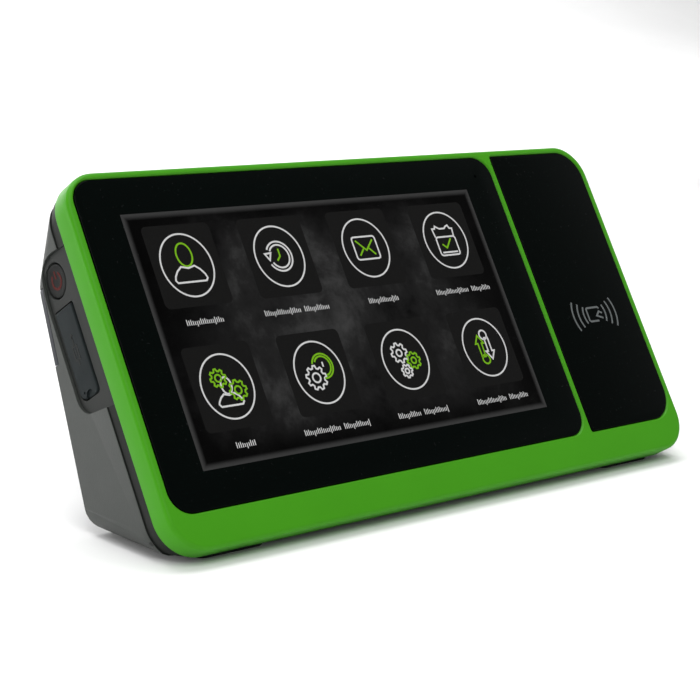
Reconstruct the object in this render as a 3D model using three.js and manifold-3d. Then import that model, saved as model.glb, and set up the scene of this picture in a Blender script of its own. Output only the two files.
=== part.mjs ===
// Desk-standing contactless-card terminal with a 7-inch touch screen.
// Every piece is drawn in the face frame: x to the right, y up the face, depth straight back from
// the face (z = -depth). The tilted group then leans the face back and stands the part on its feet.
import * as THREE from "three";
import { mergeVertices } from "three/addons/utils/BufferGeometryUtils.js";
import Module from "manifold-3d";

const wasm = await Module();
wasm.setup();

// ---- Driving dimensions, mm and degrees ----
const FACE_LEAN = 32; // lean of the face back from upright
const GAP = 0.3; // clearance between pieces that rest on or in each other

const FRAME_WIDTH = 240;
const FRAME_HEIGHT = 125.2;
const FRAME_DEPTH = 8.4;
const FRAME_CORNER = 13;
const FRAME_WALL = 2.4;
const FRAME_ROUNDING = 2;
const RIM_LEFT = 3;
const RIM_RIGHT = 2.5;
const RIM_TOP = 2.4;
const RIM_BOTTOM = 11.8;
const DIVIDER_WIDTH = 2.2;
const DIVIDER_FROM_RIGHT = 49.6; // right side of the frame to the divider
const SHELF_THICK = 1.2;

const GLASS_THICK = 1.4;
const GLASS_SUNK = 0.2; // glass face below the frame face
const GLASS_CORNER = 8;
const PANEL_CORNER = 11;
const DIVIDER_CORNER = 1; // reader glass corners beside the divider
const GASKET_THICK = 0.4;
const GASKET_WIDTH = 2.5;

const SCREEN_WIDTH = 154.2;
const SCREEN_HEIGHT = 85.9;
const SCREEN_LEFT = 18.2; // left side of the frame to the lit area
const SCREEN_BOTTOM = 24.1; // bottom of the frame to the lit area
const LCD_SIDE_MARGIN = 5.4;
const LCD_TOP_MARGIN = 3.5;
const LCD_BOTTOM_MARGIN = 10.1;
const LCD_THICK = 4;

const COVER_INSET = 0.5; // cover side inside the frame side
const COVER_WALL = 2.4;
const COVER_DEPTH = 42.8; // face to the rear wall, at the base
const REAR_SLANT = 10; // rear wall against the face
const TOP_SLOPE = 44;
const COVER_ROUNDING = 3;
const LIP_DEPTH = 4.6; // lowered lip of the cover behind the frame
const LIP_INSET = 0.6;

const PLATE_LOW = 74; // mounting plate, height up the face
const PLATE_HIGH = 98;
const PLATE_THICK = 2;
const PLATE_FLOOR = 1.5; // cover wall left under the plate
const PLATE_HOLE_SPACING = 100;
const PLATE_HOLE_RADIUS = 2;

const RECESS_DEEP = 1;
const RECESS_LOW = 54; // lower edge of the hand-side recess, at the rear
const RECESS_LOW_FRONT = 51.5;
const RECESS_CORNER = 5.5;
const RECESS_HIGH = 106.2;
const RECESS_HIGH_FRONT = 105;
const RECESS_BEHIND_FLAP = 1.5;
const BUTTON_UP = 97.6;
const BUTTON_BACK = 20.4;
const BUTTON_RADIUS = 5.5;
const BUTTON_CLEARANCE = 0.45;
const BUTTON_TRAVEL = 0.8;
const BUTTON_BAR_LENGTH = 15;
const BUTTON_BAR_WIDTH = 4;
const BUTTON_CAP_SUNK = 0.2; // cap face below the recess floor
const BUTTON_NECK_RADIUS = 4;
const BUTTON_STEM_RADIUS = 1.5;
const BUTTON_STEM_LENGTH = 2;

const FLAP_FRONT = 15.3;
const FLAP_BACK = 26.1;
const FLAP_LOW = 58.5;
const FLAP_HIGH = 88.6;
const FLAP_THICK = 2;
const FLAP_CORNERS = [1.5, 3, 0.6, 0.6]; // front low, back low, back high, front high
const FLAP_PROUD = 0.5; // flap face above the recess floor

const BAY_FROM_BOARD = 44; // bay, in from the left edge of the main board
const BAY_WIDTH = 47;
const BAY_LOW = 30;
const BAY_HIGH = 52.5;
const BAY_DEEP = 12.8; // bay floor, that the sockets come through, in from the rear edge
const BAY_WALL = 1.6;

const BOARD_FROM_LEFT = 42;
const BOARD_WIDTH = 136;
const BOARD_LOW = 22;
const BOARD_HIGH = 100;
const SHIELD_FROM_BOARD = 48;
const SHIELD_WIDTH = 32;
const SHIELD_LENGTH = 30;
const SHIELD_HEIGHT = 2.7;
const SHIELD_ABOVE_REAR_EDGE = 40.5;
const CELL = { fromBoard: 108, aboveRearEdge: 60.5, radius: 10, height: 3.2 };
const SPEAKER_FROM_REAR = 10.4;
const SPEAKER_FROM_BAY = 28; // speaker middle, out from the bay's left side
const BATTERY_FROM_BAY = 7;
const BATTERY_LENGTH = 68;
const BATTERY_FRONT = 17.9;
const BATTERY_FROM_REAR = 13.8;

const FOOT_LENGTH = 26;
const FOOT_WIDTH = 6;
const FOOT_THICK = 1.9;
const FOOT_SEAT = 0.8; // foot sunk into the base
const FOOT_FROM_SIDE = 14;
const FOOT_FROM_EDGE = 1;

const BRACKET_DEPTH = 9;
const BRACKET_THICK = 1.2;
const STANDOFF_LENGTH = 4;
const BOARD_THICK = 1.6;
const SCREW_RADIUS = 1.2;
const SCREW_HEAD_RADIUS = 2.2;
const SCREW_HEAD_THICK = 1.5;
const BOSS_RADIUS = 2.8;
const WELL_RADIUS = 4.6;
const WELL_END = 11; // depth where a cover post ends
const WELL_FLOOR = 1.6;
const BEHIND = 60; // a depth behind everything, where cutting tools end
const POST_FROM_SIDE = 9.5;

// ---- Derived places ----
const RAD = Math.PI / 180;
const LEFT = -FRAME_WIDTH / 2;
const RIGHT = FRAME_WIDTH / 2;
const GLASS_LEFT = LEFT + RIM_LEFT;
const DIVIDER_RIGHT = RIGHT - DIVIDER_FROM_RIGHT;
const DIVIDER_LEFT = DIVIDER_RIGHT - DIVIDER_WIDTH;
const PANEL_RIGHT = RIGHT - RIM_RIGHT;
const OPEN_LOW = RIM_BOTTOM;
const OPEN_HIGH = FRAME_HEIGHT - RIM_TOP;
const GLASS_BACK = GLASS_SUNK + GLASS_THICK;
const GASKET_FRONT = GLASS_BACK + GAP;
const SHELF_FRONT = GASKET_FRONT + GASKET_THICK + GAP;
const SHELF_BACK = SHELF_FRONT + SHELF_THICK;
const SCREEN_X = LEFT + SCREEN_LEFT;
const LCD_LEFT = SCREEN_X - LCD_SIDE_MARGIN;
const LCD_RIGHT = SCREEN_X + SCREEN_WIDTH + LCD_SIDE_MARGIN;
const LCD_LOW = SCREEN_BOTTOM - LCD_BOTTOM_MARGIN;
const LCD_HIGH = SCREEN_BOTTOM + SCREEN_HEIGHT + LCD_TOP_MARGIN;
const COVER_FRONT = FRAME_DEPTH + GAP;
const COVER_LEFT = LEFT + COVER_INSET;
const RECESS_FLOOR = COVER_LEFT + RECESS_DEEP;
const COVER_INNER_LEFT = COVER_LEFT + COVER_WALL;
const BRACKET_BACK = BRACKET_DEPTH + BRACKET_THICK;
const BOARD_FRONT = BRACKET_BACK + STANDOFF_LENGTH;
const BOARD_BACK = BOARD_FRONT + BOARD_THICK;
const ON_BOARD = BOARD_BACK + GAP;
const BRACKET_SCREW_LOW = LCD_LOW - BOSS_RADIUS - GAP;
const BRACKET_SCREW_HIGH = LCD_HIGH + BOSS_RADIUS + GAP;
const BRACKET_SCREWS = [
  [LCD_LEFT + 17, BRACKET_SCREW_LOW],
  [LCD_RIGHT - 12, BRACKET_SCREW_LOW],
  [LCD_LEFT + 17, BRACKET_SCREW_HIGH],
  [LCD_RIGHT - 12, BRACKET_SCREW_HIGH],
];
const BOARD_LEFT = LEFT + BOARD_FROM_LEFT;
const BOARD_RIGHT = BOARD_LEFT + BOARD_WIDTH;
const BAY_FLOOR = COVER_DEPTH - BAY_DEEP;
const BAY_LEFT = BOARD_LEFT + BAY_FROM_BOARD;
const BAY_RIGHT = BAY_LEFT + BAY_WIDTH;
const BOARD_SCREWS = [
  [BOARD_LEFT + 6, BOARD_LOW + 6],
  [BOARD_RIGHT - 6, BOARD_LOW + 6],
  [BOARD_LEFT + 6, BOARD_HIGH - 6],
  [BOARD_RIGHT - 6, BOARD_HIGH - 6],
];
const COVER_SCREWS = [
  [LEFT + POST_FROM_SIDE, 27],
  [RIGHT - POST_FROM_SIDE, 27],
  [LEFT + POST_FROM_SIDE, 48],
  [RIGHT - POST_FROM_SIDE, 66],
];

// ---- Shapes ----
function material(color, roughness, metalness = 0) {
  return new THREE.MeshStandardMaterial({ color, roughness, metalness });
}

const MATERIALS = {
  greenPlastic: () => material(0x4a9c26, 0.38),
  casingPlastic: () => material(0x4b4d50, 0.62),
  blackGlass: () => material(0x0b0c0e, 0.08),
  blackPlastic: () => material(0x17181b, 0.5),
  softRubber: () => material(0x3c3e42, 0.8),
  circuitBoard: () => material(0x1f5a33, 0.5),
  plainSteel: () => material(0xb4b7ba, 0.35, 1),
  batteryWrap: () => material(0x2a5f9a, 0.45),
  brass: () => material(0xb99a52, 0.35, 1),
};

function solidOf(geometry) {
  const bare = geometry.clone();
  bare.deleteAttribute("normal");
  bare.deleteAttribute("uv");
  const merged = mergeVertices(bare, 1e-4);
  return new wasm.Manifold(
    new wasm.Mesh({
      numProp: 3,
      vertProperties: merged.attributes.position.array,
      triVerts: new Uint32Array(merged.index.array),
    }),
  );
}

function geometryOf(solid) {
  const mesh = solid.getMesh();
  const geometry = new THREE.BufferGeometry();
  geometry.setAttribute("position", new THREE.BufferAttribute(mesh.vertProperties, 3));
  geometry.setIndex(new THREE.BufferAttribute(mesh.triVerts, 1));
  const flat = geometry.toNonIndexed();
  flat.computeVertexNormals();
  return flat;
}

function cut(geometry, ...tools) {
  return geometryOf(tools.reduce((rest, tool) => rest.subtract(solidOf(tool)), solidOf(geometry)));
}

function join(geometry, ...others) {
  return geometryOf(others.reduce((sum, other) => sum.add(solidOf(other)), solidOf(geometry)));
}

function common(geometry, other) {
  return geometryOf(solidOf(geometry).intersect(solidOf(other)));
}

// Rectangle with its own radius at each corner: lower left, lower right, upper right, upper left.
function roundedRectangle(x0, y0, x1, y1, radii) {
  const [a, b, c, d] = radii.map((radius) => Math.max(radius, 0.01));
  const shape = new THREE.Shape();
  shape.moveTo(x0 + a, y0);
  shape.lineTo(x1 - b, y0);
  shape.absarc(x1 - b, y0 + b, b, -Math.PI / 2, 0);
  shape.lineTo(x1, y1 - c);
  shape.absarc(x1 - c, y1 - c, c, 0, Math.PI / 2);
  shape.lineTo(x0 + d, y1);
  shape.absarc(x0 + d, y1 - d, d, Math.PI / 2, Math.PI);
  shape.lineTo(x0, y0 + a);
  shape.absarc(x0 + a, y0 + a, a, Math.PI, Math.PI * 1.5);
  return shape;
}

// A shape on the face, from one depth to another.
function slab(shape, front, back, curveSegments = 5) {
  const options = { depth: back - front, bevelEnabled: false, curveSegments };
  return new THREE.ExtrudeGeometry(shape, options).translate(0, 0, -back);
}

function block(x0, x1, y0, y1, front, back) {
  const box = new THREE.BoxGeometry(x1 - x0, y1 - y0, back - front);
  return box.translate((x0 + x1) / 2, (y0 + y1) / 2, -(front + back) / 2);
}

// A round bar straight back into the part.
function bar(x, y, radius, front, back, sides = 16) {
  const cylinder = new THREE.CylinderGeometry(radius, radius, back - front, sides);
  return cylinder.rotateX(Math.PI / 2).translate(x, y, -(front + back) / 2);
}

// A round bar across the part, from the left side towards the right.
function crossBar(x0, x1, y, depth, radius, sides = 32) {
  const cylinder = new THREE.CylinderGeometry(radius, radius, x1 - x0, sides);
  return cylinder.rotateZ(Math.PI / 2).translate((x0 + x1) / 2, y, -depth);
}

// A side outline given as [depth, y] points or as a shape, drawn out across the part.
function acrossPart(outline, x0, x1, rounding = 0) {
  const shape = Array.isArray(outline)
    ? new THREE.Shape(outline.map(([depth, y]) => new THREE.Vector2(depth, y)))
    : outline;
  const geometry = new THREE.ExtrudeGeometry(shape, {
    depth: x1 - x0 - 2 * rounding,
    bevelEnabled: rounding > 0,
    bevelThickness: rounding,
    bevelSize: rounding,
    bevelOffset: -rounding,
    bevelSegments: 3,
    curveSegments: 5,
  });
  return geometry.translate(0, 0, x0 + rounding).rotateY(Math.PI / 2);
}

// ---- Side profile of the cover: three straight walls, each held by its outward normal ----
function wallThrough(depth, y, normalDepth, normalY) {
  return { normalDepth, normalY, reach: depth * normalDepth + y * normalY };
}

const BASE_WALL = wallThrough(FRAME_DEPTH, 0, Math.sin(FACE_LEAN * RAD), -Math.cos(FACE_LEAN * RAD));
const REAR_Y = (COVER_DEPTH - FRAME_DEPTH) * Math.tan(FACE_LEAN * RAD);
const REAR_WALL = wallThrough(COVER_DEPTH, REAR_Y, Math.cos(REAR_SLANT * RAD), Math.sin(REAR_SLANT * RAD));
const TOP_WALL = wallThrough(COVER_FRONT, FRAME_HEIGHT, Math.sin(TOP_SLOPE * RAD), Math.cos(TOP_SLOPE * RAD));

function meet(first, second, inset) {
  const a = first.reach - inset;
  const b = second.reach - inset;
  const det = first.normalDepth * second.normalY - first.normalY * second.normalDepth;
  return [
    (a * second.normalY - first.normalY * b) / det,
    (first.normalDepth * b - a * second.normalDepth) / det,
  ];
}

function heightOn(wall, depth, inset) {
  return (wall.reach - inset - depth * wall.normalDepth) / wall.normalY;
}

function depthOn(wall, y, inset) {
  return (wall.reach - inset - y * wall.normalY) / wall.normalDepth;
}

function coverProfile(inset, front) {
  return [
    [front, heightOn(BASE_WALL, front, inset)],
    meet(BASE_WALL, REAR_WALL, inset),
    meet(REAR_WALL, TOP_WALL, inset),
    [front, heightOn(TOP_WALL, front, inset)],
  ];
}

function frameOutline(inset) {
  const radius = Math.max(FRAME_CORNER - inset, 1);
  const corners = [radius, radius, radius, radius];
  return roundedRectangle(LEFT + inset, inset, RIGHT - inset, FRAME_HEIGHT - inset, corners);
}

// The cover as a solid block, its sides in by the inset.
function coverBlock(inset, front) {
  const side = COVER_INSET + inset;
  const rounding = Math.max(COVER_ROUNDING - inset, 0.4);
  const walls = acrossPart(coverProfile(inset, front), LEFT + side, RIGHT - side, rounding);
  return common(walls, slab(frameOutline(side - COVER_INSET), front, COVER_DEPTH + FRAME_DEPTH, 8));
}

// A strip along the rear wall, between two heights and two distances in from the outer face.
function rearStrip(low, high, outside, inside) {
  const outline = [
    [depthOn(REAR_WALL, low, inside), low],
    [depthOn(REAR_WALL, low, outside), low],
    [depthOn(REAR_WALL, high, outside), high],
    [depthOn(REAR_WALL, high, inside), high],
  ];
  return acrossPart(outline, LEFT - 1, RIGHT + 1);
}

// ---- Front pieces ----
function glassOutline(inset) {
  const radii = [GLASS_CORNER, GLASS_CORNER, GLASS_CORNER, GLASS_CORNER];
  return roundedRectangle(
    GLASS_LEFT + inset,
    OPEN_LOW + inset,
    DIVIDER_LEFT - inset,
    OPEN_HIGH - inset,
    radii.map((radius) => radius - inset),
  );
}

function panelOutline(inset) {
  const radii = [DIVIDER_CORNER, PANEL_CORNER, PANEL_CORNER, DIVIDER_CORNER];
  return roundedRectangle(
    DIVIDER_RIGHT + inset,
    OPEN_LOW + inset,
    PANEL_RIGHT - inset,
    OPEN_HIGH - inset,
    radii.map((radius) => radius - inset),
  );
}

function screenWindow(front, back) {
  const x1 = SCREEN_X + SCREEN_WIDTH;
  const top = SCREEN_BOTTOM + SCREEN_HEIGHT;
  return block(SCREEN_X - 1, x1 + 1, SCREEN_BOTTOM - 1, top + 1, front, back);
}

function readerWindow(front, back) {
  const right = RIGHT - POST_FROM_SIDE - BOSS_RADIUS - 2;
  return block(DIVIDER_RIGHT + 6, right, OPEN_LOW + 6, OPEN_HIGH - 6, front, back);
}

function frontFrame() {
  const outer = new THREE.ExtrudeGeometry(frameOutline(0), {
    depth: FRAME_DEPTH,
    bevelEnabled: true,
    bevelThickness: FRAME_ROUNDING,
    bevelSize: FRAME_ROUNDING,
    bevelOffset: -FRAME_ROUNDING,
    bevelSegments: 3,
    curveSegments: 8,
  }).translate(0, 0, -FRAME_DEPTH - FRAME_ROUNDING);
  const behind = block(LEFT - 1, RIGHT + 1, -1, FRAME_HEIGHT + 1, FRAME_DEPTH, FRAME_DEPTH * 2);
  const hollow = slab(frameOutline(FRAME_WALL), SHELF_BACK, FRAME_DEPTH + 1, 8);
  const shell = cut(
    outer,
    behind,
    hollow,
    slab(glassOutline(0), -1, SHELF_FRONT),
    slab(panelOutline(0), -1, SHELF_FRONT),
    screenWindow(0, FRAME_DEPTH),
    readerWindow(0, FRAME_DEPTH),
  );
  const bossFront = SHELF_BACK - 0.5;
  const bracketBosses = BRACKET_SCREWS.map(([x, y]) => {
    return bar(x, y, BOSS_RADIUS, bossFront, BRACKET_DEPTH - GAP);
  });
  const coverBosses = COVER_SCREWS.map(([x, y]) => bar(x, y, BOSS_RADIUS, bossFront, WELL_END - GAP));
  const bores = [
    ...BRACKET_SCREWS.map(([x, y]) => bar(x, y, SCREW_RADIUS + GAP, SHELF_BACK + 0.4, BRACKET_DEPTH + 1, 12)),
    ...COVER_SCREWS.map(([x, y]) => bar(x, y, SCREW_RADIUS + GAP, SHELF_BACK + 0.4, WELL_END + 1, 12)),
  ];
  return cut(join(shell, ...bracketBosses, ...coverBosses), ...bores);
}

// A ring of double-sided tape between a glass and the shelf behind it.
function ringGasket(outline, outlineInside) {
  return cut(
    slab(outline, GASKET_FRONT, GASKET_FRONT + GASKET_THICK),
    slab(outlineInside, GASKET_FRONT - 1, GASKET_FRONT + GASKET_THICK + 1),
  );
}

const MICROPHONE_X = SCREEN_X + 161;
const MICROPHONE_Y = SCREEN_BOTTOM + SCREEN_HEIGHT + 5;

function coverGlass() {
  const plate = slab(glassOutline(GAP), GLASS_SUNK, GLASS_BACK, 8);
  return cut(plate, bar(MICROPHONE_X, MICROPHONE_Y, 0.5, -1, GLASS_BACK + 1, 10));
}

function readerPanel() {
  return slab(panelOutline(GAP), GLASS_SUNK, GLASS_BACK, 8);
}

function lcdModule() {
  return block(LCD_LEFT, LCD_RIGHT, LCD_LOW, LCD_HIGH, SHELF_BACK + GAP, SHELF_BACK + GAP + LCD_THICK);
}

function readerBoard() {
  const front = SHELF_BACK + GAP;
  const right = RIGHT - POST_FROM_SIDE - BOSS_RADIUS - 1;
  return block(DIVIDER_RIGHT + 3, right, OPEN_LOW + 8, OPEN_HIGH - 8, front, front + BOARD_THICK);
}

function microphone() {
  return bar(MICROPHONE_X, MICROPHONE_Y, 2, SHELF_BACK + GAP, SHELF_BACK + GAP + 1.8, 12);
}

// ---- Pieces on the steel bracket ----
function displayBracket() {
  const left = LCD_LEFT + 6;
  const right = LCD_RIGHT + 1;
  const low = BRACKET_SCREW_LOW - BOSS_RADIUS;
  const plate = block(left, right, low, BRACKET_SCREW_HIGH + SCREW_HEAD_RADIUS, BRACKET_DEPTH, BRACKET_BACK);
  const holes = BRACKET_SCREWS.map(([x, y]) => bar(x, y, SCREW_RADIUS + GAP, 0, 20, 12));
  return cut(plate, ...holes);
}

function mainBoard() {
  const plate = block(BOARD_LEFT, BOARD_RIGHT, BOARD_LOW, BOARD_HIGH, BOARD_FRONT, BOARD_BACK);
  const holes = BOARD_SCREWS.map(([x, y]) => bar(x, y, SCREW_RADIUS + GAP, 0, 20, 12));
  return cut(plate, ...holes);
}

function standoff([x, y]) {
  const front = BRACKET_BACK + GAP;
  const back = BOARD_FRONT - GAP;
  return cut(bar(x, y, BOSS_RADIUS, front, back, 6), bar(x, y, SCREW_RADIUS + GAP, front - 1, back + 1, 12));
}

// Pan-head screw, its head resting at the given depth and its shank towards the face.
function screw([x, y], underHead, length) {
  const outline = [
    new THREE.Vector2(0, -length),
    new THREE.Vector2(SCREW_RADIUS, -length),
    new THREE.Vector2(SCREW_RADIUS, 0),
    new THREE.Vector2(SCREW_HEAD_RADIUS, 0),
    new THREE.Vector2(SCREW_HEAD_RADIUS * 0.92, SCREW_HEAD_THICK * 0.6),
    new THREE.Vector2(SCREW_HEAD_RADIUS * 0.55, SCREW_HEAD_THICK),
    new THREE.Vector2(0, SCREW_HEAD_THICK),
  ];
  const turned = new THREE.LatheGeometry(outline, 12);
  return turned.rotateX(-Math.PI / 2).translate(x, y, -underHead);
}

function processorShield() {
  const left = BOARD_LEFT + SHIELD_FROM_BOARD;
  const low = REAR_Y + SHIELD_ABOVE_REAR_EDGE;
  return block(left, left + SHIELD_WIDTH, low, low + SHIELD_LENGTH, ON_BOARD, ON_BOARD + SHIELD_HEIGHT);
}

function clockCell() {
  return bar(BOARD_LEFT + CELL.fromBoard, REAR_Y + CELL.aboveRearEdge, CELL.radius, ON_BOARD, ON_BOARD + CELL.height, 24);
}

const JACK_MOUTH = BAY_FLOOR - GAP;
const NETWORK_MOUTH_END = ON_BOARD + 2.6;
const NETWORK_LATCH_END = ON_BOARD + 5.6;
const POWER_SOCKET_END = ON_BOARD + 3.6;
const NETWORK_JACK = { x0: BAY_LEFT + 6, x1: BAY_LEFT + 22, y0: BAY_LOW + 4, y1: BAY_LOW + 18.5 };
const POWER_JACK = { x0: BAY_RIGHT - 15, x1: BAY_RIGHT - 6, y0: BAY_LOW + 6, y1: BAY_LOW + 17 };

function networkJack() {
  const { x0, x1, y0, y1 } = NETWORK_JACK;
  const body = block(x0, x1, y0, y1, ON_BOARD, JACK_MOUTH);
  const mouth = block(x0 + 2.1, x1 - 2.1, y0 + 2, y1 - 4.2, NETWORK_MOUTH_END, JACK_MOUTH + 1);
  const latchSlot = block(x0 + 5, x1 - 5, y1 - 5, y1 - 1.2, NETWORK_LATCH_END, JACK_MOUTH + 1);
  return cut(body, mouth, latchSlot);
}

function powerJack() {
  const { x0, x1, y0, y1 } = POWER_JACK;
  const x = (x0 + x1) / 2;
  const y = (y0 + y1) / 2;
  const body = block(x0, x1, y0, y1, ON_BOARD, JACK_MOUTH);
  const socket = bar(x, y, 2.8, POWER_SOCKET_END, JACK_MOUTH + 1, 20);
  const pin = bar(x, y, 1, POWER_SOCKET_END - 0.5, JACK_MOUTH - 1, 12);
  return join(cut(body, socket), pin);
}

// ---- Pieces on the left side ----
function sideRecess() {
  const back = FLAP_BACK + RECESS_BEHIND_FLAP;
  const shape = new THREE.Shape();
  shape.moveTo(FRAME_DEPTH - 1, RECESS_LOW_FRONT);
  shape.lineTo(back - RECESS_CORNER, RECESS_LOW);
  shape.absarc(back - RECESS_CORNER, RECESS_LOW + RECESS_CORNER, RECESS_CORNER, -Math.PI / 2, 0);
  shape.lineTo(back, BUTTON_UP - BUTTON_RADIUS);
  shape.lineTo(BUTTON_BACK + BUTTON_RADIUS, BUTTON_UP + BUTTON_RADIUS);
  shape.lineTo(BUTTON_BACK, RECESS_HIGH);
  shape.lineTo(FRAME_DEPTH - 1, RECESS_HIGH_FRONT);
  return acrossPart(shape, LEFT - 1, RECESS_FLOOR);
}

function flapOutline(grow) {
  const radii = FLAP_CORNERS.map((radius) => radius + grow);
  return roundedRectangle(FLAP_FRONT - grow, FLAP_LOW - grow, FLAP_BACK + grow, FLAP_HIGH + grow, radii);
}

const FLAP_OUTSIDE = RECESS_FLOOR - FLAP_PROUD;
const FLAP_INSIDE = FLAP_OUTSIDE + FLAP_THICK;
const SOCKET_MOUTH = FLAP_INSIDE + 0.8;
const PORT_BOARD_FRONT = FLAP_BACK - 2.4;

function portCover() {
  const hingeX = (FLAP_OUTSIDE + FLAP_INSIDE) / 2;
  const hingeY = FLAP_HIGH - FLAP_THICK / 2;
  const leaf = acrossPart(flapOutline(0), FLAP_OUTSIDE, FLAP_INSIDE);
  const edge = block(FLAP_OUTSIDE - 1, FLAP_INSIDE + 1, hingeY, FLAP_HIGH + 1, FLAP_FRONT - 1, FLAP_BACK + 1);
  const knuckle = bar(hingeX, hingeY, FLAP_THICK / 2, FLAP_FRONT + GAP, FLAP_BACK - GAP, 16);
  const nailNotch = crossBar(FLAP_OUTSIDE - 1, FLAP_OUTSIDE + 0.9, FLAP_LOW, FLAP_FRONT + 5, 2.4, 16);
  return cut(join(cut(leaf, edge), knuckle), nailNotch);
}

function powerButton() {
  const capOutside = RECESS_FLOOR + BUTTON_CAP_SUNK;
  const barOutside = COVER_INNER_LEFT + GAP;
  const barInside = barOutside + 1;
  const overlap = 0.2;
  const low = BUTTON_UP - BUTTON_BAR_LENGTH / 2;
  const front = BUTTON_BACK - BUTTON_BAR_WIDTH / 2;
  const stemInside = barInside + BUTTON_STEM_LENGTH;
  return join(
    crossBar(capOutside, COVER_INNER_LEFT - overlap / 2, BUTTON_UP, BUTTON_BACK, BUTTON_RADIUS),
    crossBar(COVER_INNER_LEFT - overlap, barOutside + overlap, BUTTON_UP, BUTTON_BACK, BUTTON_NECK_RADIUS),
    block(barOutside, barInside, low, low + BUTTON_BAR_LENGTH, front, front + BUTTON_BAR_WIDTH),
    crossBar(barInside - overlap, stemInside, BUTTON_UP, BUTTON_BACK, BUTTON_STEM_RADIUS, 12),
  );
}

const SWITCH_SIZE = 6;
const SWITCH_HEIGHT = 3;
const SWITCH_FRONT = COVER_INNER_LEFT + 2 * GAP + 1 + BUTTON_STEM_LENGTH + BUTTON_TRAVEL;
const SIDE_BOARD_X = SWITCH_FRONT + SWITCH_HEIGHT + GAP;

function buttonSwitch() {
  const low = BUTTON_UP - SWITCH_SIZE / 2;
  const front = BUTTON_BACK - SWITCH_SIZE / 2;
  const inside = SWITCH_FRONT + SWITCH_HEIGHT;
  return block(SWITCH_FRONT, inside, low, low + SWITCH_SIZE, front, front + SWITCH_SIZE);
}

function sideBoard() {
  const low = BUTTON_UP - 7.5;
  const high = BUTTON_UP + 7;
  return block(SIDE_BOARD_X, SIDE_BOARD_X + BOARD_THICK, low, high, BUTTON_BACK - 7, BUTTON_BACK + 4);
}

function usbSocket() {
  const back = PORT_BOARD_FRONT - GAP;
  const front = back - 6.8;
  const y1 = FLAP_HIGH - 2.6;
  const y0 = y1 - 14.5;
  const body = block(SOCKET_MOUTH, SOCKET_MOUTH + 14, y0, y1, front, back);
  const mouth = block(SOCKET_MOUTH - 1, SOCKET_MOUTH + 12, y0 + 1, y1 - 1, front + 0.8, back - 0.8);
  const tongue = block(SOCKET_MOUTH + 0.8, SOCKET_MOUTH + 12.5, y0 + 2, y1 - 2, front + 1.6, front + 3.5);
  return join(cut(body, mouth), tongue);
}

function serviceSocket() {
  const back = PORT_BOARD_FRONT - GAP;
  const front = back - 3;
  const y0 = FLAP_LOW + 3;
  const body = block(SOCKET_MOUTH, SOCKET_MOUTH + 6, y0, y0 + 8, front, back);
  const mouth = block(SOCKET_MOUTH - 1, SOCKET_MOUTH + 4.5, y0 + 0.5, y0 + 7.5, front + 0.5, back - 0.5);
  const tongue = block(SOCKET_MOUTH + 0.5, SOCKET_MOUTH + 5, y0 + 2, y0 + 6, front + 1, front + 1.6);
  return join(cut(body, mouth), tongue);
}

function portBoard() {
  const back = PORT_BOARD_FRONT + BOARD_THICK;
  return block(SOCKET_MOUTH + 1, SOCKET_MOUTH + 21, FLAP_LOW + 1, FLAP_HIGH - 1, PORT_BOARD_FRONT, back);
}

// ---- Rear pieces ----
const SPEAKER_X = BAY_LEFT - SPEAKER_FROM_BAY;
const SPEAKER_Y = 45;
const SPEAKER_RADIUS = 14;

function speakerSlots() {
  const slots = [];
  for (let row = -2; row <= 2; row += 1) {
    const y = SPEAKER_Y + row * 4.4;
    const half = SPEAKER_RADIUS * 0.85 - Math.abs(row) * 2;
    slots.push(block(SPEAKER_X - half, SPEAKER_X + half, y - 0.9, y + 0.9, 30, BEHIND));
  }
  return slots;
}

function cavity() {
  const around = GAP + PLATE_FLOOR;
  const plateSeat = rearStrip(PLATE_LOW - around, PLATE_HIGH + around, -1, PLATE_THICK + around);
  return cut(coverBlock(COVER_WALL, FRAME_DEPTH - 2), plateSeat);
}

function jackHole({ x0, x1, y0, y1 }) {
  return block(x0 - GAP, x1 + GAP, y0 - GAP, y1 + GAP, BAY_FLOOR - 5, BAY_FLOOR + 1);
}

function bayBlock(grow, front) {
  const low = BAY_LOW - grow;
  return block(BAY_LEFT - grow, BAY_RIGHT + grow, low, BAY_HIGH + grow, front, BEHIND);
}

function rearCover(footPockets) {
  const posts = COVER_SCREWS.map(([x, y]) => bar(x, y, WELL_RADIUS, WELL_END, BEHIND, 20));
  const inside = join(bayBlock(BAY_WALL, BAY_FLOOR - BAY_WALL), ...posts);
  const outer = join(coverBlock(0, COVER_FRONT + LIP_DEPTH), coverBlock(LIP_INSET, COVER_FRONT));
  const wells = COVER_SCREWS.flatMap(([x, y]) => [
    bar(x, y, SCREW_HEAD_RADIUS + GAP, WELL_END + WELL_FLOOR, BEHIND, 16),
    bar(x, y, SCREW_RADIUS + GAP, WELL_END - 1, BEHIND, 12),
  ]);
  const pressedIn = COVER_INNER_LEFT + BUTTON_TRAVEL + GAP;
  const holeRadius = BUTTON_RADIUS + BUTTON_CLEARANCE;
  return cut(
    join(cut(outer, cavity()), common(outer, inside)),
    bayBlock(0, BAY_FLOOR),
    jackHole(NETWORK_JACK),
    jackHole(POWER_JACK),
    rearStrip(PLATE_LOW - GAP, PLATE_HIGH + GAP, -5, PLATE_THICK + GAP),
    sideRecess(),
    crossBar(LEFT - 1, pressedIn, BUTTON_UP, BUTTON_BACK, holeRadius),
    acrossPart(flapOutline(GAP), LEFT - 1, COVER_INNER_LEFT + 0.5),
    ...wells,
    ...speakerSlots(),
    ...footPockets,
  );
}

function plateHoles() {
  const y = (PLATE_LOW + PLATE_HIGH) / 2;
  return [-0.5, 0.5].map((side) => bar(side * PLATE_HOLE_SPACING, y, PLATE_HOLE_RADIUS, 20, BEHIND));
}

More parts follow.
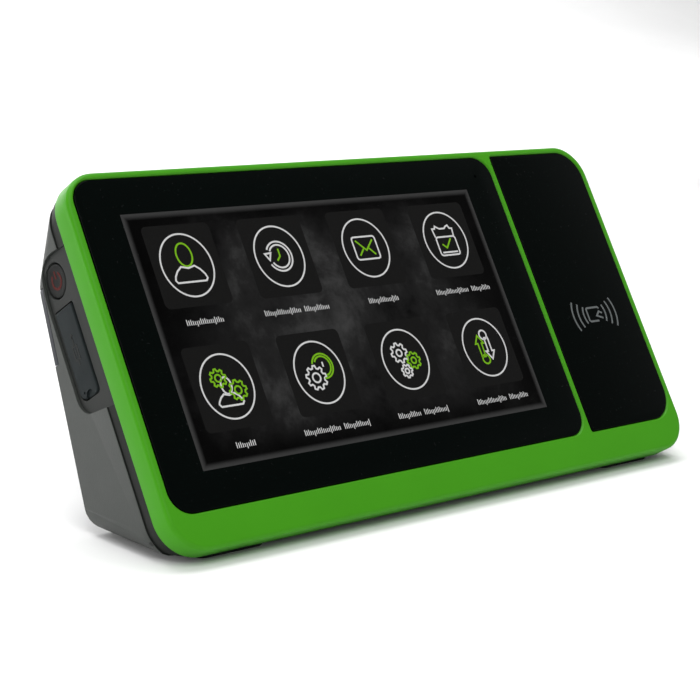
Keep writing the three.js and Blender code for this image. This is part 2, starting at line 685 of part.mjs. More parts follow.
function rearMountPlate() {
  const band = rearStrip(PLATE_LOW, PLATE_HIGH, -5, PLATE_THICK);
  return cut(common(coverBlock(0, COVER_FRONT), band), ...plateHoles());
}

const BATTERY_LEFT = BAY_RIGHT + BATTERY_FROM_BAY;
const BATTERY = {
  x0: BATTERY_LEFT,
  x1: BATTERY_LEFT + BATTERY_LENGTH,
  y0: 21,
  y1: 54,
  front: BATTERY_FRONT,
  back: COVER_DEPTH - BATTERY_FROM_REAR,
};

function batteryPack() {
  const { x0, x1, y0, y1, front, back } = BATTERY;
  return block(x0, x1, y0, y1, front, back);
}

function batteryCradle() {
  const { x0, x1, y0, y1, back } = BATTERY;
  const wall = 1.2;
  const reach = GAP + wall;
  const tray = block(x0 - reach, x1 + reach, y0 - reach, y1 + reach, back - 8, back + reach);
  return cut(tray, block(x0 - GAP, x1 + GAP, y0 - GAP, y1 + GAP, back - 9, back + GAP));
}

function speaker() {
  const back = COVER_DEPTH - SPEAKER_FROM_REAR;
  const front = back - 4.4;
  const magnet = bar(SPEAKER_X, SPEAKER_Y, SPEAKER_RADIUS * 0.55, front - 4, front + 0.2, 20);
  return join(bar(SPEAKER_X, SPEAKER_Y, SPEAKER_RADIUS, front, back, 28), magnet);
}

// ---- Feet, drawn in the standing frame ----
function footBlocks(grow, low, high) {
  const lean = FACE_LEAN * RAD;
  const edge = (depth, y) => y * Math.sin(lean) + depth * Math.cos(lean);
  const frontEdge = edge(COVER_FRONT, heightOn(BASE_WALL, COVER_FRONT, 0));
  const rearEdge = edge(...meet(BASE_WALL, REAR_WALL, 0));
  const reach = FOOT_FROM_EDGE + FOOT_WIDTH / 2;
  const blocks = [];
  for (const y of [frontEdge + reach, rearEdge - reach]) {
    for (const side of [-1, 1]) {
      const x = side * (RIGHT - FOOT_FROM_SIDE - FOOT_LENGTH / 2);
      const foot = new THREE.BoxGeometry(FOOT_LENGTH + 2 * grow, FOOT_WIDTH + 2 * grow, high - low);
      blocks.push(foot.translate(x, y, (low + high) / 2));
    }
  }
  return blocks;
}

// ---- Assembly ----
const group = new THREE.Group();
const standing = new THREE.Group();
const tilted = new THREE.Group();
group.add(standing);
standing.add(tilted);
tilted.rotation.x = Math.PI / 2 - FACE_LEAN * RAD;
tilted.updateMatrix();
const toFace = tilted.matrix.clone().invert();

function add(parent, name, geometry, look) {
  const mesh = new THREE.Mesh(geometry, look());
  mesh.name = name;
  parent.add(mesh);
}

const baseHeight = -FRAME_DEPTH * Math.sin(FACE_LEAN * RAD);
const footSole = baseHeight + FOOT_SEAT - GAP - FOOT_THICK;
const footTop = footSole + FOOT_THICK;
const pocketBlocks = footBlocks(GAP, baseHeight - 5, baseHeight + FOOT_SEAT);
const pockets = pocketBlocks.map((box) => box.applyMatrix4(toFace));

add(tilted, "front_frame", frontFrame(), MATERIALS.greenPlastic);
add(tilted, "cover_glass", coverGlass(), MATERIALS.blackGlass);
add(tilted, "glass_gasket", ringGasket(glassOutline(GAP), glassOutline(GASKET_WIDTH)), MATERIALS.softRubber);
add(tilted, "reader_panel", readerPanel(), MATERIALS.blackGlass);
add(tilted, "reader_gasket", ringGasket(panelOutline(GAP), panelOutline(GASKET_WIDTH)), MATERIALS.softRubber);
add(tilted, "lcd_module", lcdModule(), MATERIALS.blackPlastic);
add(tilted, "reader_board", readerBoard(), MATERIALS.circuitBoard);
add(tilted, "microphone", microphone(), MATERIALS.plainSteel);
add(tilted, "display_bracket", displayBracket(), MATERIALS.plainSteel);
add(tilted, "main_board", mainBoard(), MATERIALS.circuitBoard);
add(tilted, "processor_shield", processorShield(), MATERIALS.plainSteel);
add(tilted, "clock_cell", clockCell(), MATERIALS.plainSteel);
add(tilted, "network_jack", networkJack(), MATERIALS.blackPlastic);
add(tilted, "power_jack", powerJack(), MATERIALS.blackPlastic);
add(tilted, "rear_cover", rearCover(pockets), MATERIALS.casingPlastic);
add(tilted, "rear_mount_plate", rearMountPlate(), MATERIALS.blackPlastic);
add(tilted, "port_cover", portCover(), MATERIALS.softRubber);
add(tilted, "power_button", powerButton(), MATERIALS.casingPlastic);
add(tilted, "button_switch", buttonSwitch(), MATERIALS.blackPlastic);
add(tilted, "side_board", sideBoard(), MATERIALS.circuitBoard);
add(tilted, "usb_socket", usbSocket(), MATERIALS.plainSteel);
add(tilted, "service_socket", serviceSocket(), MATERIALS.plainSteel);
add(tilted, "port_board", portBoard(), MATERIALS.circuitBoard);
add(tilted, "battery_pack", batteryPack(), MATERIALS.batteryWrap);
add(tilted, "battery_cradle", batteryCradle(), MATERIALS.blackPlastic);
add(tilted, "speaker", speaker(), MATERIALS.blackPlastic);

BRACKET_SCREWS.forEach((place, i) => {
  add(tilted, `bracket_screw_${i + 1}`, screw(place, BRACKET_BACK + GAP, 4.6), MATERIALS.plainSteel);
});
BOARD_SCREWS.forEach((place, i) => {
  add(tilted, `standoff_${i + 1}`, standoff(place), MATERIALS.brass);
  add(tilted, `board_screw_${i + 1}`, screw(place, ON_BOARD, STANDOFF_LENGTH + 0.6), MATERIALS.plainSteel);
});
COVER_SCREWS.forEach((place, i) => {
  add(tilted, `cover_screw_${i + 1}`, screw(place, WELL_END + WELL_FLOOR + GAP, 7), MATERIALS.plainSteel);
});
footBlocks(0, footSole, footTop).forEach((foot, i) => {
  add(standing, `rubber_foot_${i + 1}`, foot, MATERIALS.softRubber);
});

// Origin at the middle of the footprint of the whole part, on the surface that it stands on.
group.updateMatrixWorld(true);
const extent = new THREE.Box3().setFromObject(group, true);
standing.position.set(0, -(extent.min.y + extent.max.y) / 2, -extent.min.z);

export default group;
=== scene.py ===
"""Builds the finished look of a desk-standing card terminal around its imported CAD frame.

Every new piece is shaped in the face frame, in millimetres: x to the right, y up the face and
z out of the face, with the face's lower edge at y 0 and its front at z 0. Its depth is -z.
The matrix FACE then leans it back and puts it where the CAD pieces stand, in metres.
"""

import math

import bmesh
import bpy
from bpy.props import FloatProperty, FloatVectorProperty, IntProperty, PointerProperty
from mathutils import Euler, Matrix, Vector


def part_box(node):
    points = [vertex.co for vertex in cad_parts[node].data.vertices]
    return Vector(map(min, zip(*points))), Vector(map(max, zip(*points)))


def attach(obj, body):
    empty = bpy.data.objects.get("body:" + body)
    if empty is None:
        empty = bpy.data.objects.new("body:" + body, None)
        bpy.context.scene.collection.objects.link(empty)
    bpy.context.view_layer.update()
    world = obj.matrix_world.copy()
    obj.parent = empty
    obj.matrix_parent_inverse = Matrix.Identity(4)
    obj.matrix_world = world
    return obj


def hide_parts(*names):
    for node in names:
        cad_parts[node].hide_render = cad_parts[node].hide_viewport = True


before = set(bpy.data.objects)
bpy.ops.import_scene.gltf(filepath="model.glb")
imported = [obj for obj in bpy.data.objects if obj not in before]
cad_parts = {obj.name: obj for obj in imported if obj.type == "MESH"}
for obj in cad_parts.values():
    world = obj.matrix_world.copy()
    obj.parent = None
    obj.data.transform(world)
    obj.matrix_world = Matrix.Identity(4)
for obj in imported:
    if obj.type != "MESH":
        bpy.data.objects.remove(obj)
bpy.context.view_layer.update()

bl_info = {
    "name": "Card Terminal",
    "version": (1, 0, 0),
    "blender": (4, 5, 0),
    "location": "3D View > Sidebar > Terminal",
    "description": "Builds a desk-standing card terminal with a leaning touch display",
    "category": "Add Mesh",
}

# ---- The face frame ----
MM = 0.001
LEAN = math.radians(32)
TURN = Matrix.Rotation(math.pi / 2 - LEAN, 4, "X")
UNTURN = TURN.inverted()


def turned_back(node):
    """The corners of a CAD node's mesh with the lean taken out, in metres."""
    return [UNTURN @ vertex.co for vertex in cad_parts[node].data.vertices]


def face_origin():
    """The middle of the front frame's lower front edge, in metres, before the lean."""
    corners = turned_back("front_frame")
    return Vector((0, min(c.y for c in corners), max(c.z for c in corners)))


FACE = TURN @ Matrix.Translation(face_origin()) @ Matrix.Scale(MM, 4)
UNFACE = FACE.inverted()


def span(node):
    """Lowest and highest corner of a CAD node in the face frame, in millimetres."""
    corners = [UNFACE @ vertex.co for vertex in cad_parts[node].data.vertices]
    low = Vector(tuple(min(c[axis] for c in corners) for axis in range(3)))
    high = Vector(tuple(max(c[axis] for c in corners) for axis in range(3)))
    return low, high


FRAME_LOW, FRAME_HIGH = span("front_frame")
GLASS_LOW, GLASS_HIGH = span("cover_glass")
PANEL_LOW, PANEL_HIGH = span("reader_panel")
COVER_LOW, COVER_HIGH = span("rear_cover")
FLAP_LOW, FLAP_HIGH = span("port_cover")
BUTTON_LOW, BUTTON_HIGH = span("power_button")
NETWORK_LOW, NETWORK_HIGH = span("network_jack")
POWER_LOW, POWER_HIGH = span("power_jack")

# ---- Sizes the pieces share, in millimetres ----
FRAME_DEPTH = 8.4
GAP = 0.3
SCREEN_WIDTH = 154.2
SCREEN_HEIGHT = 85.9
SCREEN_LEFT = FRAME_LOW.x + 18.2
SCREEN_TOP = 110.0
COVER_FRONT = FRAME_DEPTH + GAP
COVER_DEPTH = 42.8
COVER_WALL = 2.4
REAR_SLANT = math.radians(10.0)
TOP_SLOPE = math.radians(44.0)
RECESS_FLOOR = COVER_LOW.x + 1.0
LIP_DEPTH = 4.6
LIP_INSET = 0.6
PLATE_BAND = (74.0, 98.0)
PLATE_THICK = 2.0
BUTTON_UP = 97.6
BUTTON_BACK = 20.4
BUTTON_RADIUS = 5.5
BUTTON_CLEARANCE = 0.45
BAY_LOW, BAY_HIGH = (-34.0, 30.0), (13.0, 52.5)
BAY_FLOOR = 30.0
BAY_WALL = 1.6
POST_RADIUS = 4.6
POST_FRONT = 11.0
WELL_RADIUS = 2.5
WELL_DEPTH = 12.6
SHANK_HOLE = 1.5
PLATE_FLOOR = 1.5
PLATE_HOLES = (-50.0, 50.0)
PLATE_HOLE_RADIUS = 2.0
BEHIND = 60.0  # a depth behind everything
SPEAKER_AT = (-62.0, 45.0)
SPEAKER_PITCH = 4.4
SPEAKER_SLOT = 1.8
INK_LIFT = 0.03  # how far printed marks stand off the glass


# ---- What a user may change ----
def length(name, text, value, low=0.0, high=50.0):
    """A size property, its default given in millimetres."""
    limits = {"min": low * MM, "soft_max": high * MM}
    return FloatProperty(name=name, description=text, default=value * MM, unit="LENGTH", precision=5, **limits)


def colour(name, text, value):
    """A colour property, in linear light."""
    return FloatVectorProperty(name=name, description=text, default=value, subtype="COLOR", size=3, min=0, max=1)


class TerminalSizes(bpy.types.PropertyGroup):
    """Roundings and line widths of the visible pieces."""

    frame_corner: length("Frame corner", "Corner radius of the green frame", 13)
    frame_rounding: length("Frame front edge", "Rounding of the frame's front edge", 1.5)
    window_rounding: length("Window edge", "Rounding of the edges around the two glasses", 0.55)
    glass_corner: length("Glass corner", "Outer corner radius of the display glass", 7.7)
    panel_corner: length("Reader corner", "Outer corner radius of the reader glass", 10.7)
    slope_rounding: length("Top slope edge", "Rounding between a side and the top slope", 7)
    base_rounding: length("Base edge", "Rounding between a side and the base", 7)
    rear_rounding: length("Rear edge", "Rounding around the rear wall", 2.6)
    ring_line: length("Ring line", "Line width of the rings around the display's icons", 0.58)
    icon_line: length("Icon line", "Line width of the display's icons", 0.62)
    reader_line: length("Reader line", "Line width of the card symbol", 0.75)


class TerminalColours(bpy.types.PropertyGroup):
    """Colours of the finishes, in linear light."""

    green: colour("Frame green", "Satin green of the front frame", (0.050, 0.275, 0.007))
    casing: colour("Casing grey", "Textured grey of the rear cover", (0.046, 0.050, 0.046))
    rubber: colour("Rubber", "Rubber of the port flap", (0.011, 0.015, 0.016))
    mark_white: colour("Icon white", "Light lines on the display", (0.5, 0.5, 0.5))
    mark_green: colour("Icon green", "Green lines on the display", (0.14, 0.34, 0.010))
    reader_grey: colour("Reader grey", "Printed card symbol", (0.12, 0.13, 0.13))
    power_red: colour("Power red", "Power symbol", (0.075, 0.012, 0.010))


class TerminalStage(bpy.types.PropertyGroup):
    """Camera and lights."""

    lens: FloatProperty(name="Lens", description="Focal length on a 36 mm sensor", default=97.3, min=20)
    camera: FloatVectorProperty(
        name="Camera", description="Place of the camera", default=(-0.4427, -0.46812, 0.1796), unit="LENGTH"
    )
    heading: FloatProperty(
        name="Heading", description="Turn of the camera from +Y", default=math.radians(42.17), subtype="ANGLE"
    )
    tilt: FloatProperty(
        name="Tilt", description="Camera below the horizon", default=math.radians(11.61), subtype="ANGLE"
    )
    roll: FloatProperty(
        name="Roll", description="Camera roll", default=math.radians(2.14), subtype="ANGLE"
    )
    key_power: FloatProperty(name="Key light", description="Power of the key softbox, watts", default=16, min=0)
    detail: IntProperty(
        name="Curve steps", description="Steps in a quarter turn of a large corner", default=14, min=4
    )


def sizes():
    """The size properties of this scene, in millimetres by name."""
    return bpy.context.scene.terminal_sizes


def mm(name):
    """A size property in millimetres."""
    return getattr(sizes(), name) / MM


# ---- Finishes ----
class Finish:
    """The node tree of one material, with short calls for the nodes it uses most."""

    def __init__(self, name):
        self.material = bpy.data.materials.new(name)
        self.material.use_nodes = True
        self.nodes = self.material.node_tree.nodes
        self.links = self.material.node_tree.links
        self.shader = self.nodes["Principled BSDF"]
        self.place = self.add("ShaderNodeTexCoord").outputs["Object"]

    def add(self, kind, inputs=None, **settings):
        node = self.nodes.new(kind)
        for key, value in settings.items():
            setattr(node, key, value)
        for key, value in (inputs or {}).items():
            self.feed(node.inputs[key], value)
        return node

    def feed(self, socket, value):
        if isinstance(value, bpy.types.NodeSocket):
            self.links.new(value, socket)
        else:
            socket.default_value = value

    def shade(self, **inputs):
        for key, value in inputs.items():
            self.feed(self.shader.inputs[key.replace("_", " ")], value)

    def noise(self, scale, detail=3.0, roughness=0.5, where=None, distortion=0.0):
        inputs = {"Vector": where or self.place, "Scale": scale, "Detail": detail}
        inputs.update({"Roughness": roughness, "Distortion": distortion})
        return self.add("ShaderNodeTexNoise", inputs).outputs["Fac"]

    def ramp(self, source, *stops):
        """Colour or grey by position; each stop is (position, value or colour)."""
        node = self.add("ShaderNodeValToRGB", {"Fac": source})
        ends = node.color_ramp.elements
        while len(ends) < len(stops):
            ends.new(0.5)
        for end, (position, value) in zip(ends, stops):
            end.position = position
            shade = value if isinstance(value, tuple) else (value,) * 3
            end.color = (*shade[:3], 1)
        return node.outputs["Color"]

    def maths(self, operation, first, second=0.5, third=0.0):
        node = self.add("ShaderNodeMath", {0: first, 1: second, 2: third}, operation=operation)
        return node.outputs[0]

    def scaled(self, source, low, high):
        """A 0 to 1 value spread from low to high."""
        return self.maths("MULTIPLY_ADD", source, high - low, low)

    def bump(self, height, distance, strength=1.0, normal=None):
        inputs = {"Height": height, "Distance": distance, "Strength": strength}
        if normal is not None:
            inputs["Normal"] = normal
        return self.add("ShaderNodeBump", inputs).outputs["Normal"]


def dim(shade, factor):
    """A colour made lighter or darker."""
    return tuple(min(1.0, channel * factor) for channel in shade[:3])


def moulded_plastic(name, shade, roughness, grain=0.0, spread=0.10, gloss=None):
    """Injection-moulded plastic: faint flow mottle, fine tool grain and handled-smooth patches."""
    finish = Finish(name)
    mottle = finish.noise(26, 4, 0.6)
    speck = finish.noise(2600, 2, 0.7)
    blend = finish.maths("MULTIPLY_ADD", speck, 0.35, finish.maths("MULTIPLY", mottle, 0.65))
    base = finish.ramp(blend, (0.3, dim(shade, 1 - spread)), (0.7, dim(shade, 1 + spread)))
    rough = finish.scaled(finish.noise(90, 5, 0.6), roughness - 0.05, roughness + 0.07)
    pits = finish.noise(1500, 3, 0.65)
    normal = finish.bump(pits, grain * MM, 0.6)
    flow = finish.bump(finish.noise(45, 2), 0.05 * MM, 0.25, normal)
    finish.shade(Base_Color=base, Roughness=rough, Normal=flow, IOR=1.49)
    if gloss is not None:
        finish.shade(Specular_IOR_Level=gloss)
    return finish.material


def black_glass(name, shade):
    """Back-printed glass: near black, with a trace of wiped smears and dust in its gloss."""
    finish = Finish(name)
    dust = finish.ramp(finish.noise(900, 2, 0.4), (0.71, 0.0), (0.76, 1.0))
    wipe = finish.noise(14, 5, 0.6, distortion=1.6)
    base = finish.ramp(finish.maths("MULTIPLY", dust, 0.1), (0.0, shade), (1.0, (0.06, 0.06, 0.062)))
    finish.shade(Base_Color=base, Roughness=finish.scaled(wipe, 0.035, 0.085), IOR=1.42)
    finish.shade(Specular_IOR_Level=0.05)
    finish.shade(Normal=finish.bump(finish.noise(7, 2), 0.02 * MM, 0.12))
    return finish.material


def display_picture(name):
    """The lit area: a cloudy slate picture, darker to its edges, with a thin pale line round it."""
    finish = Finish(name)
    across, up = uv_millimetres(finish)
    cloud = finish.noise(24, 8, 0.62, distortion=0.4)
    veins = finish.noise(80, 6, 0.7)
    mixed = finish.maths("MULTIPLY_ADD", veins, 0.3, finish.maths("MULTIPLY", cloud, 0.7))
    slate = finish.ramp(mixed, (0.38, 0.002), (0.52, 0.010), (0.66, 0.034))
    edge_x = finish.maths("MINIMUM", across, finish.maths("SUBTRACT", SCREEN_WIDTH, across))
    edge_y = finish.maths("MINIMUM", up, finish.maths("SUBTRACT", SCREEN_HEIGHT, up))
    side = finish.add("ShaderNodeMapRange", {"Value": edge_x, 2: 45.0}, interpolation_type="SMOOTHSTEP")
    ends = finish.add("ShaderNodeMapRange", {"Value": edge_y, 2: 16.0}, interpolation_type="SMOOTHSTEP")
    middle = finish.maths("MULTIPLY", side.outputs[0], ends.outputs[0])
    light = finish.scaled(middle, 0.12, 1.35)
    border = finish.maths("MINIMUM", edge_x, edge_y)
    line = finish.add(
        "ShaderNodeMapRange", {"Value": border, 1: 0.4, 2: 2.4, 3: 0.034, 4: 0.0}, interpolation_type="SMOOTHSTEP"
    )
    lit = finish.add("ShaderNodeVectorMath", {0: slate}, operation="SCALE")
    finish.feed(lit.inputs["Scale"], light)
    total = finish.add("ShaderNodeVectorMath", {0: lit.outputs[0], 1: line.outputs[0]}, operation="ADD")
    finish.shade(Base_Color=total.outputs[0], Roughness=finish.scaled(cloud, 0.04, 0.08), IOR=1.42)
    finish.shade(Specular_IOR_Level=0.05)
    return finish.material


def uv_millimetres(finish):
    """Distances across and up the lit area, from its lower left corner, in millimetres."""
    flat = finish.add("ShaderNodeUVMap", uv_map="face")
    parts = finish.add("ShaderNodeSeparateXYZ", {0: flat.outputs["UV"]})
    across = finish.maths("MULTIPLY", parts.outputs["X"], SCREEN_WIDTH)
    return across, finish.maths("MULTIPLY", parts.outputs["Y"], SCREEN_HEIGHT)


def printed_ink(name, shade, glow=0.0):
    """A printed or lit line behind glass: even colour with a trace of dot grain."""
    finish = Finish(name)
    dots = finish.noise(3000, 1)
    finish.shade(Base_Color=finish.ramp(dots, (0.35, dim(shade, 0.9)), (0.65, dim(shade, 1.06))))
    finish.shade(Roughness=finish.scaled(finish.noise(60, 3), 0.1, 0.18), Specular_IOR_Level=0.05)
    if glow:
        finish.shade(Emission_Color=(*shade[:3], 1), Emission_Strength=glow)
    return finish.material


def moulded_rubber(name, shade, roughness=0.72):
    """Soft rubber: matt, with a faint bloom and fine pores."""
    finish = Finish(name)
    bloom = finish.ramp(finish.noise(60, 5, 0.65), (0.35, dim(shade, 0.88)), (0.7, dim(shade, 1.18)))
    pores = finish.bump(finish.noise(1900, 3, 0.6), 0.05 * MM, 0.55)
    rough = finish.scaled(finish.noise(150, 4), roughness - 0.06, roughness + 0.1)
    finish.shade(Base_Color=bloom, Roughness=rough, Normal=pores, Sheen_Weight=0.02)
    finish.shade(Specular_IOR_Level=0.15)
    return finish.material


def sheet_metal(name, shade, roughness=0.3, across=(1, 40, 1)):
    """Rolled or plated metal with fine drawn lines."""
    finish = Finish(name)
    drawn = finish.add("ShaderNodeMapping", {"Vector": finish.place, "Scale": across})
    lines = finish.noise(160, 3, 0.6, where=drawn.outputs[0])
    finish.shade(Base_Color=finish.ramp(lines, (0.3, dim(shade, 0.86)), (0.7, dim(shade, 1.05))), Metallic=1.0)
    finish.shade(Roughness=finish.scaled(lines, roughness - 0.07, roughness + 0.12))
    finish.shade(Normal=finish.bump(lines, 0.01 * MM, 0.4))
    return finish.material


def circuit_board(name):
    """Green solder mask over copper, with lanes of tracks showing through."""
    finish = Finish(name)
    lanes = finish.add(
        "ShaderNodeTexBrick",
        {"Vector": finish.place, "Scale": 260.0, "Mortar Size": 0.035, "Color1": (0.006, 0.055, 0.018, 1)},
        offset=0.37,
    )
    finish.feed(lanes.inputs["Color2"], (0.008, 0.075, 0.026, 1))
    finish.feed(lanes.inputs["Mortar"], (0.03, 0.16, 0.05, 1))
    finish.shade(Base_Color=lanes.outputs["Color"], Roughness=finish.scaled(finish.noise(200, 3), 0.25, 0.4))
    finish.shade(Normal=finish.bump(lanes.outputs["Fac"], 0.03 * MM, 0.5))
    return finish.material


FINISHES = {}


def finish_of(key):
    """A finish by name, made once."""
    if key in FINISHES:
        return FINISHES[key]
    shades = bpy.context.scene.terminal_colours
    makers = {
        "green": lambda: moulded_plastic("green_plastic", shades.green, 0.4, grain=0.012, spread=0.04, gloss=0.12),
        "casing": lambda: moulded_plastic("casing_plastic", shades.casing, 0.5, grain=0.09, spread=0.14, gloss=0.3),
        # Painted shade: the frame-side strip of the cover takes the casing colour at 0.3, with less gloss, for the
        # shade beside the frame.
        "lip": lambda: moulded_plastic("casing_lip", dim(shades.casing, 0.3), 0.5, grain=0.05, gloss=0.15),
        # Partly painted shade: the floor of the hand-side hollow has a finer grain, which is real, and the casing
        # colour at 0.42, which paints the hollow's shade.
        "recess_painted_shade": lambda: moulded_plastic("recess_smooth_painted_shade", dim(shades.casing, 0.42), 0.46, grain=0.03, gloss=0.15),
        "button": lambda: moulded_plastic("button_plastic", dim(shades.casing, 0.16), 0.46, grain=0.03, gloss=0.1),
        "plate": lambda: moulded_plastic("plate_plastic", (0.010, 0.012, 0.018), 0.4, grain=0.05),
        "black": lambda: moulded_plastic("black_plastic", (0.012, 0.012, 0.013), 0.45, grain=0.04),
        "flap": lambda: moulded_rubber("flap_rubber", shades.rubber),
        "foot": lambda: moulded_rubber("foot_rubber", (0.013, 0.013, 0.014), 0.8),
        "glass": lambda: black_glass("display_glass", (0.0007, 0.0017, 0.0014)),
        "reader": lambda: black_glass("reader_glass", (0.0009, 0.0018, 0.0015)),
        "picture": lambda: display_picture("display_picture"),
        "tile": lambda: printed_ink("tile_ink", (0.0072, 0.0072, 0.0070)),
        "white": lambda: printed_ink("icon_white", shades.mark_white, glow=0.12),
        "lime": lambda: printed_ink("icon_green", shades.mark_green, glow=0.12),
        "card": lambda: printed_ink("reader_ink", shades.reader_grey),
        "red": lambda: printed_ink("power_ink", shades.power_red),
        "steel": lambda: sheet_metal("plated_steel", (0.55, 0.56, 0.57)),
        "screw": lambda: sheet_metal("screw_zinc", (0.3, 0.31, 0.32), 0.38, (1, 1, 1)),
        "gold": lambda: sheet_metal("contact_gold", (0.75, 0.52, 0.18), 0.25),
        "brass": lambda: sheet_metal("turned_brass", (0.55, 0.4, 0.16), 0.3),
        "pressed": lambda: sheet_metal("pressed_aluminium", (0.6, 0.61, 0.62), 0.4),
        "board": lambda: circuit_board("solder_mask"),
        "film": lambda: moulded_plastic("battery_film", (0.02, 0.09, 0.26), 0.35, spread=0.06),
    }
    FINISHES[key] = makers[key]()
    return FINISHES[key]


# ---- Shapes ----
def outline(corners, radii, steps=None):
    """A flat face from its corners in the face plane, each with its own rounding."""
    mesh = bmesh.new()
    points = [mesh.verts.new(corner) for corner in corners]
    mesh.faces.new(points)
    for point, radius in zip(points, radii):
        if radius > 0:
            soften(mesh, [point], radius, steps or bpy.context.scene.terminal_stage.detail, "VERTICES")
    return mesh


def soften(mesh, parts, radius, segments, affect="EDGES"):
    """A round bevel with the settings that every rounding here shares."""
    bmesh.ops.bevel(
        mesh,
        geom=parts,
        offset=radius,
        offset_type="OFFSET",
        segments=segments,
        profile=0.5,
        affect=affect,
        material=-1,
        clamp_overlap=True,
    )


def round_at(mesh, axis, level, radius, segments):
    """Rounds the edges that lie in one plane across an axis."""
    soften(mesh, edges_where(mesh, lambda co: near(getattr(co, axis), level)), radius, segments)


def raise_faces(mesh, way):
    """Draws every face out along a direction and closes the solid."""
    drawn = bmesh.ops.extrude_face_region(mesh, geom=mesh.faces[:])
    moved = [item for item in drawn["geom"] if isinstance(item, bmesh.types.BMVert)]
    bmesh.ops.translate(mesh, vec=way, verts=moved)
    bmesh.ops.recalc_face_normals(mesh, faces=mesh.faces)
    return mesh


def slab(x0, x1, y0, y1, front, back, radii=(0, 0, 0, 0), steps=None):
    """A rounded plate on the face; corners run lower left, lower right, upper right, upper left."""
    corners = ((x0, y0, -back), (x1, y0, -back), (x1, y1, -back), (x0, y1, -back))
    return raise_faces(outline(corners, radii, steps), (0, 0, back - front))


def filling(low, high, *rest):
    """A slab that fills a box in face millimetres."""
    return slab(low.x, high.x, low.y, high.y, -high.z, -low.z, *rest)


def across(points, x0, x1, radii=None, steps=None):
    """A side outline of (depth, height) points drawn out across the part."""
    corners = [(x0, height, -depth) for depth, height in points]
    return raise_faces(outline(corners, radii or (0,) * len(corners), steps), (x1 - x0, 0, 0))


def rod(centre, radius, length_mm, axis="Z", segments=48):
    """A round bar with its middle at a point."""
    mesh = bmesh.new()
    turns = {"X": Matrix.Rotation(math.pi / 2, 4, "Y"), "Y": Matrix.Rotation(math.pi / 2, 4, "X")}
    matrix = Matrix.Translation(centre) @ turns.get(axis, Matrix.Identity(4))
    bmesh.ops.create_cone(
        mesh,
        cap_ends=True,
        segments=segments,
        radius1=radius,
        radius2=radius,
        depth=length_mm,
        matrix=matrix,
    )
    return mesh


def edges_where(mesh, test):
    """The edges whose two ends both pass a test."""
    return [edge for edge in mesh.edges if all(test(vertex.co) for vertex in edge.verts)]


def near(value, target, reach=0.01):
    """True where two measures agree."""
    return abs(value - target) < reach


def merged(*meshes):
    """Several meshes as one, their solids kept apart."""
    first = meshes[0]
    for other in meshes[1:]:
        carrier = bpy.data.meshes.new("carrier")
        other.to_mesh(carrier)
        first.from_mesh(carrier)
        bpy.data.meshes.remove(carrier)
        other.free()
    return first


def loose_object(name, mesh):
    """An object in the scene, still in face millimetres."""
    data = bpy.data.meshes.new(name)
    mesh.to_mesh(data)
    mesh.free()
    thing = bpy.data.objects.new(name, data)
    bpy.context.scene.collection.objects.link(thing)
    return thing


def settle(thing):
    """Applies every modifier of an object to its mesh."""
    graph = bpy.context.evaluated_depsgraph_get()
    finished = bpy.data.meshes.new_from_object(thing.evaluated_get(graph))
    thing.modifiers.clear()
    thing.data = finished


def work(mesh, *steps):
    """Cuts, joins or keeps the common part of a mesh with others, one step after another."""
    thing = loose_object("work", mesh)
    tools = []
    for operation, tool in steps:
        cutter = loose_object("tool", tool)
        modifier = thing.modifiers.new("shape", "BOOLEAN")
        modifier.operation = operation
        modifier.solver = "EXACT"
        modifier.object = cutter
        settle(thing)
        tools.append(cutter)
    result = bmesh.new()
    result.from_mesh(thing.data)
    for item in (thing, *tools):
        bpy.data.objects.remove(item)
    bmesh.ops.remove_doubles(result, verts=result.verts, dist=0.0005)
    bmesh.ops.dissolve_degenerate(result, edges=result.edges, dist=0.0005)
    return result


def cut(mesh, *tools):
    """A mesh less the tools."""
    return work(mesh, *(("DIFFERENCE", tool) for tool in tools))


def hem(mesh, width=0.25, segments=2, angle=38):
    """Takes the sharpness off every hard edge of a finished shape."""
    thing = loose_object("work", mesh)
    modifier = thing.modifiers.new("hem", "BEVEL")
    modifier.width = width
    modifier.segments = segments
    modifier.limit_method = "ANGLE"
    modifier.angle_limit = math.radians(angle)
    modifier.use_clamp_overlap = True
    settle(thing)
    result = bmesh.new()
    result.from_mesh(thing.data)
    bpy.data.objects.remove(thing)
    return result


def piece(name, mesh, finishes, body="housing", stands_for=(), sharp=32):
    """Places a shaped mesh in the standing frame and hands it to its body."""
    bmesh.ops.transform(mesh, matrix=FACE, verts=mesh.verts)
    data = bpy.data.meshes.new(name)
    mesh.to_mesh(data)
    mesh.free()
    data.shade_smooth()
    data.set_sharp_from_angle(angle=math.radians(sharp))
    for key in finishes:
        data.materials.append(finish_of(key))
    thing = bpy.data.objects.new(name, data)
    bpy.context.scene.collection.objects.link(thing)
    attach(thing, body)
    if stands_for:
        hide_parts(*stands_for)
    return thing


def coat_node(node, key):
    """Gives a CAD piece that keeps its shape a finished material."""
    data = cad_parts[node].data
    data.materials.clear()
    data.materials.append(finish_of(key))


# ---- Line drawing on the glasses ----
def circle_line(x, y, rx, ry=None, start=0.0, end=360.0, steps=64):
    """Points of an ellipse or of an arc of it; angles in degrees, anticlockwise from the right."""
    ry = rx if ry is None else ry
    whole = end - start >= 360
    count = steps if whole else steps + 1
    turns = [math.radians(start + (end - start) * i / steps) for i in range(count)]
    return [(x + rx * math.cos(a), y + ry * math.sin(a)) for a in turns], whole


def gear_line(x, y, outer, inner, teeth):
    """Points of a gear's outline, four to a tooth."""
    points = []
    for tooth in range(teeth):
        for part, radius in ((0.0, outer), (0.32, outer), (0.5, inner), (0.82, inner)):
            turn = 2 * math.pi * (tooth + part) / teeth
            points.append((x + radius * math.cos(turn), y + radius * math.sin(turn)))
    return points, True


def lines(points, closed=False):
    """A path through chosen points."""
    return list(points), closed


